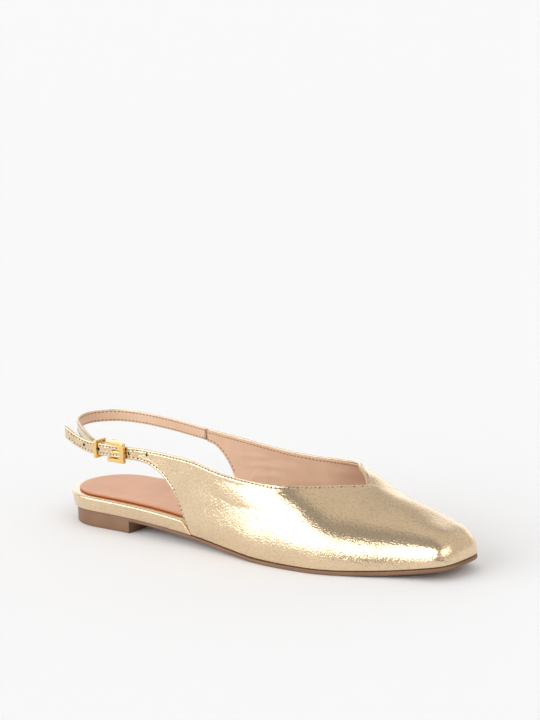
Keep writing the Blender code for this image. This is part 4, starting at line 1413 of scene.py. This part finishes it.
def prism(outline, low, high, soften):
    """Straight bar over an outline of (run, depth) with softened edges, as a bmesh."""
    mesh = bmesh.new()
    bottom = [mesh.verts.new(local(a, b, low)) for a, b in outline]
    top = [mesh.verts.new(local(a, b, high)) for a, b in outline]
    count = len(outline)
    for i in range(count):
        k = (i + 1) % count
        mesh.faces.new((bottom[i], bottom[k], top[k], top[i]))
    mesh.faces.new(bottom[::-1])
    mesh.faces.new(top)
    bmesh.ops.recalc_face_normals(mesh, faces=mesh.faces)
    bmesh.ops.bevel(mesh, geom=mesh.edges[:], offset=soften, segments=3, profile=0.5,
                    affect='EDGES', clamp_overlap=True)
    return mesh


def joined(name, meshes):
    """One mesh from several bmeshes."""
    whole = bmesh.new()
    for mesh in meshes:
        data = from_bmesh(name, mesh)
        whole.from_mesh(data)
        bpy.data.meshes.remove(data)
    return from_bmesh(name, whole)


def rounded(outline, radius, steps=4):
    """Outline with its corners rounded by up to a radius."""
    points = []
    count = len(outline)
    for k in range(count):
        here = np.array(outline[k])
        back = np.array(outline[k - 1]) - here
        on = np.array(outline[(k + 1) % count]) - here
        reach = min(radius, 0.45 * np.linalg.norm(back), 0.45 * np.linalg.norm(on))
        a = here + back / np.linalg.norm(back) * reach
        b = here + on / np.linalg.norm(on) * reach
        for t in np.linspace(0, 1, steps):
            points.append(tuple(a * (1 - t)**2 + here * 2 * t * (1 - t) + b * t * t))
    return points


def build_frame():
    """Two rails, the front bar and the pivot bar, cast in one piece."""
    front = FRAME_LENGTH / 2
    rear = -front
    over = WALL / 2 + GAP
    face = over + BAR_DEPTH
    half = FRAME_HEIGHT / 2
    rail = (
        (front - 0.1 * MM, face - 0.1 * MM),
        (front - 0.1 * MM, over),
        (front - FRONT_BAR, over - 1.2 * MM),
        (rear + 3.2 * MM, PIVOT_DEPTH + 0.2 * MM),
        (rear + 1.9 * MM, PIVOT_DEPTH - 1.0 * MM),
        (rear - 0.2 * MM, PIVOT_DEPTH - 1.0 * MM),
        (rear - 0.4 * MM, PIVOT_DEPTH + 1.3 * MM),
        (rear - 0.4 * MM, over - 0.4 * MM),
        (rear, face - 1.2 * MM),
        (rear + 1.6 * MM, face - 0.4 * MM),
    )
    bar = ((front, over), (front, face), (front - FRONT_BAR, face), (front - FRONT_BAR, over))
    parts = [
        prism(rounded(rail, 1.2 * MM), half - FRAME_RAIL, half, 0.22 * MM),
        prism(rounded(rail, 1.2 * MM), -half, -half + FRAME_RAIL, 0.22 * MM),
        prism(bar, -half - BAR_PROUD, half + BAR_PROUD, 0.35 * MM),
    ]
    pivot = []
    for k in range(16):
        turn = math.pi / 8 * k
        pivot.append((rear + PIVOT_BAR / 2 * (1 + math.cos(turn)),
                      PIVOT_DEPTH + PIVOT_BAR / 2 * math.sin(turn)))
    parts.append(prism(pivot, -half + 0.5 * MM, half - 0.5 * MM, 0.05 * MM))
    mesh = joined("frame", parts)
    return set_piece("buckle_casting", mesh, BRASS, "buckle_frame")


build_frame()

# Buckle prong
# Bent pin hooked on the pivot bar. It comes up through the billet's middle hole and lies
# against the front bar, its end rounded.
PRONG_THICK = 0.8 * MM
PRONG_WIDTH = 1.4 * MM
PRONG_HOLE = -2.9 * MM


def build_prong():
    """Pin of oval section along its bent middle line."""
    run = -FRAME_LENGTH / 2 + PIVOT_BAR / 2
    radius = PIVOT_BAR / 2 + GAP + PRONG_THICK / 2
    hole = PRONG_HOLE
    rise = WALL / 2 + GAP + PRONG_THICK / 2
    tip = FRAME_LENGTH / 2 - FRONT_BAR - GAP
    line = []
    for k in range(11):
        turn = math.radians(10 - 27 * k)
        line.append((run + radius * math.cos(turn), PIVOT_DEPTH + radius * math.sin(turn)))
    line += [
        (hole - 1.6 * MM, PIVOT_DEPTH + radius),
        (hole - 0.7 * MM, PIVOT_DEPTH + radius + 0.15 * MM),
        (hole - 0.15 * MM, -rise),
        (hole, 0.0),
        (hole + 0.15 * MM, rise * 0.8),
        (hole + 0.9 * MM, rise + 0.35 * MM),
        (hole + 2.4 * MM, rise + 0.5 * MM),
        (tip, rise + 0.4 * MM),
    ]
    fine = np.linspace(0, len(line) - 1, 90)
    table = [(k, *point) for k, point in enumerate(line)]
    middle = np.array([local(curve(table, 1, f), curve(table, 2, f)) for f in fine])
    way = unit(np.gradient(middle, axis=0))
    out = unit(sideways(way))
    up = np.cross(way, out)
    turn = np.linspace(0, 2 * math.pi, 16, endpoint=False)
    section = np.stack([PRONG_THICK / 2 * np.cos(turn), PRONG_WIDTH / 2 * np.sin(turn)], -1)
    mesh = ribbon("prong", middle, out, up, section)
    return set_piece("buckle_pin", mesh, BRASS, "buckle_prong")


build_prong()

# Keeper
# Small rectangular loop of the same gold-plated metal that holds the billet's end flat
# on the sling strap.
KEEPER_HEIGHT = 9.8 * MM
KEEPER_BAND = 1.8 * MM
KEEPER_WALL = 1.1 * MM
KEEPER_AT = -15.1 * MM
KEEPER_DEEP = -5.2 * MM


def build_keeper():
    """Band of metal bent to a loop, its outer edges softened."""
    over = WALL / 2 + GAP
    half = KEEPER_HEIGHT / 2
    mesh = bmesh.new()
    rings = []
    for run in (-KEEPER_BAND / 2, KEEPER_BAND / 2):
        for wall in (0.0, KEEPER_WALL):
            tall = half - KEEPER_WALL + wall
            corners = [(over + wall, -tall), (over + wall, tall),
                       (KEEPER_DEEP - wall, tall), (KEEPER_DEEP - wall, -tall)]
            outline = rounded(corners, 0.55 * MM if wall else 0.35 * MM, 5)
            rings.append([mesh.verts.new(local(KEEPER_AT + run, a, b)) for a, b in outline])
    inner_a, outer_a, inner_b, outer_b = rings
    for a, b in ((inner_a, outer_a), (outer_a, outer_b), (outer_b, inner_b), (inner_b, inner_a)):
        for j in range(len(a)):
            k = (j + 1) % len(a)
            mesh.faces.new((a[j], a[k], b[k], b[j]))
    bmesh.ops.recalc_face_normals(mesh, faces=mesh.faces)
    sharp = [e for e in mesh.edges if e.calc_face_angle() > math.radians(60)]
    bmesh.ops.bevel(mesh, geom=sharp, offset=0.22 * MM, segments=3, profile=0.5,
                    affect='EDGES', clamp_overlap=True)
    return set_piece("keeper_loop", from_bmesh("keeper", mesh), BRASS, "keeper")


build_keeper()

# Floor
# Plain pale sweep under the shoe.


def build_floor():
    """Large plane that only the picture shows."""
    made, _, bsdf = shader("floor", (0.925, 0.935, 0.955), 0.9)
    bsdf.inputs["Specular IOR Level"].default_value = 0.1
    mesh = bpy.data.meshes.new("floor")
    size = 40.0
    corners = [(-size, -size, 0), (size, -size, 0), (size, size, 0), (-size, size, 0)]
    mesh.from_pydata(corners, [], [(0, 1, 2, 3)])
    mesh.materials.append(made)
    floor = bpy.data.objects.new("floor", mesh)
    bpy.context.scene.collection.objects.link(floor)


build_floor()

# Light
# A pale room. A large soft box stands on the shoe's lateral side under a dim ceiling, a
# white card stands past the toe, another behind the shoe, and a narrow grey strip overhead
# darkens the vamp.


ROOM_TONE = (0.73, 0.70, 0.66)

# Cards from the farthest to the nearest; each covers those before it
CARDS = (
    # turn, rise and roll in degrees, tangents across and upward, softness, grey
    (128.0, 16.0, 0.0, (-1.20, 1.20), (-0.35, 0.28), 0.16, 1.35),
    (108.0, 46.0, 46.0, (-0.34, 0.34), (-0.07, 0.07), 0.06, 0.48),
    (-105.0, 40.0, 0.0, (-0.75, 0.75), (-0.80, 0.80), 0.20, 0.42),
    (-10.0, 33.0, 0.0, (-0.75, 0.32), (-0.26, 0.26), 0.08, 2.2),
    (-54.0, 2.0, 0.0, (-0.35, 0.50), (-0.50, 0.22), 0.10, 0.36),
    (-114.0, 22.0, 14.0, (-0.95, 0.66), (-0.95, 0.36), 0.06, 3.2),
    (-86.0, 5.0, 32.0, (-0.30, 0.30), (-0.35, 0.09), 0.08, 0.36),
    (-105.0, 1.0, 0.0, (-1.60, 1.60), (-0.08, 0.03), 0.02, 0.28),
)


def aim(turn, rise, roll):
    """Direction turned and raised by degrees, and its right and up rolled about it."""
    turn, rise, roll = (math.radians(angle) for angle in (turn, rise, roll))
    out = Vector((math.cos(turn) * math.cos(rise), math.sin(turn) * math.cos(rise), math.sin(rise)))
    side = Vector((-math.sin(turn), math.cos(turn), 0.0))
    up = out.cross(side)
    right = side * math.cos(roll) + up * math.sin(roll)
    return out, right, up * math.cos(roll) - side * math.sin(roll)


def along_axis(tree, way, axis):
    """Output with a direction's share along a fixed axis."""
    node = add_node(tree, "ShaderNodeVectorMath", operation='DOT_PRODUCT')
    node.inputs[1].default_value = axis
    tree.links.new(way, node.inputs[0])
    return node.outputs["Value"]


def card_mask(tree, way, turn, rise, roll, across, upward, soft):
    """Rectangle of the surround in tangents off its middle direction, with soft edges."""
    out, *axes = aim(turn, rise, roll)
    front = reckon(tree, 'MAXIMUM', along_axis(tree, way, out), 0.02)
    masks = []
    for axis, (low, high) in zip(axes, (across, upward)):
        tangent = reckon(tree, 'DIVIDE', along_axis(tree, way, axis), front)
        shifted = reckon(tree, 'SUBTRACT', tangent, (low + high) / 2)
        apart = reckon(tree, 'ABSOLUTE', shifted)
        half = (high - low) / 2
        masks.append(remap(tree, apart, half - soft, half + soft, 1.0, 0.0,
                           interpolation_type='SMOOTHSTEP'))
    return reckon(tree, 'MULTIPLY', *masks)


def room():
    """World of one tone with every card laid over it in turn."""
    world = bpy.data.worlds.new("room")
    bpy.context.scene.world = world
    world.use_nodes = True
    tree = world.node_tree
    way = add_node(tree, "ShaderNodeTexCoord").outputs["Generated"]
    level = ROOM_TONE
    for *card, grey in CARDS:
        level = mix_colours(tree, card_mask(tree, way, *card), level, (grey, grey, grey))
    tree.links.new(level, tree.nodes["Background"].inputs["Color"])


room()
bpy.context.scene.view_settings.view_transform = 'Standard'

# Camera
# The photograph's viewing angle: from the toe's lateral side, a little above, with the
# photograph's slight roll.


VIEW_TURN = -52.17
VIEW_RISE = 10.97
VIEW_ROLL = -2.0
VIEW_DISTANCE = 1.2
VIEW_MIDDLE = Vector((136.93 * MM - HEEL_MIDDLE, 0.0, 99.82 * MM))
SENSOR = 36.0
LENS = 113.92


def build_camera():
    """Long lens that looks at the view's middle."""
    back, right, up = aim(VIEW_TURN, VIEW_RISE, VIEW_ROLL)
    data = bpy.data.cameras.new("camera")
    data.lens = LENS
    data.sensor_width = SENSOR
    data.clip_start = 0.05
    camera = bpy.data.objects.new("camera", data)
    place = Matrix((right, up, back)).transposed().to_4x4()
    place.translation = VIEW_MIDDLE + back * VIEW_DISTANCE
    camera.matrix_world = place
    bpy.context.scene.collection.objects.link(camera)
    bpy.context.scene.camera = camera


build_camera()
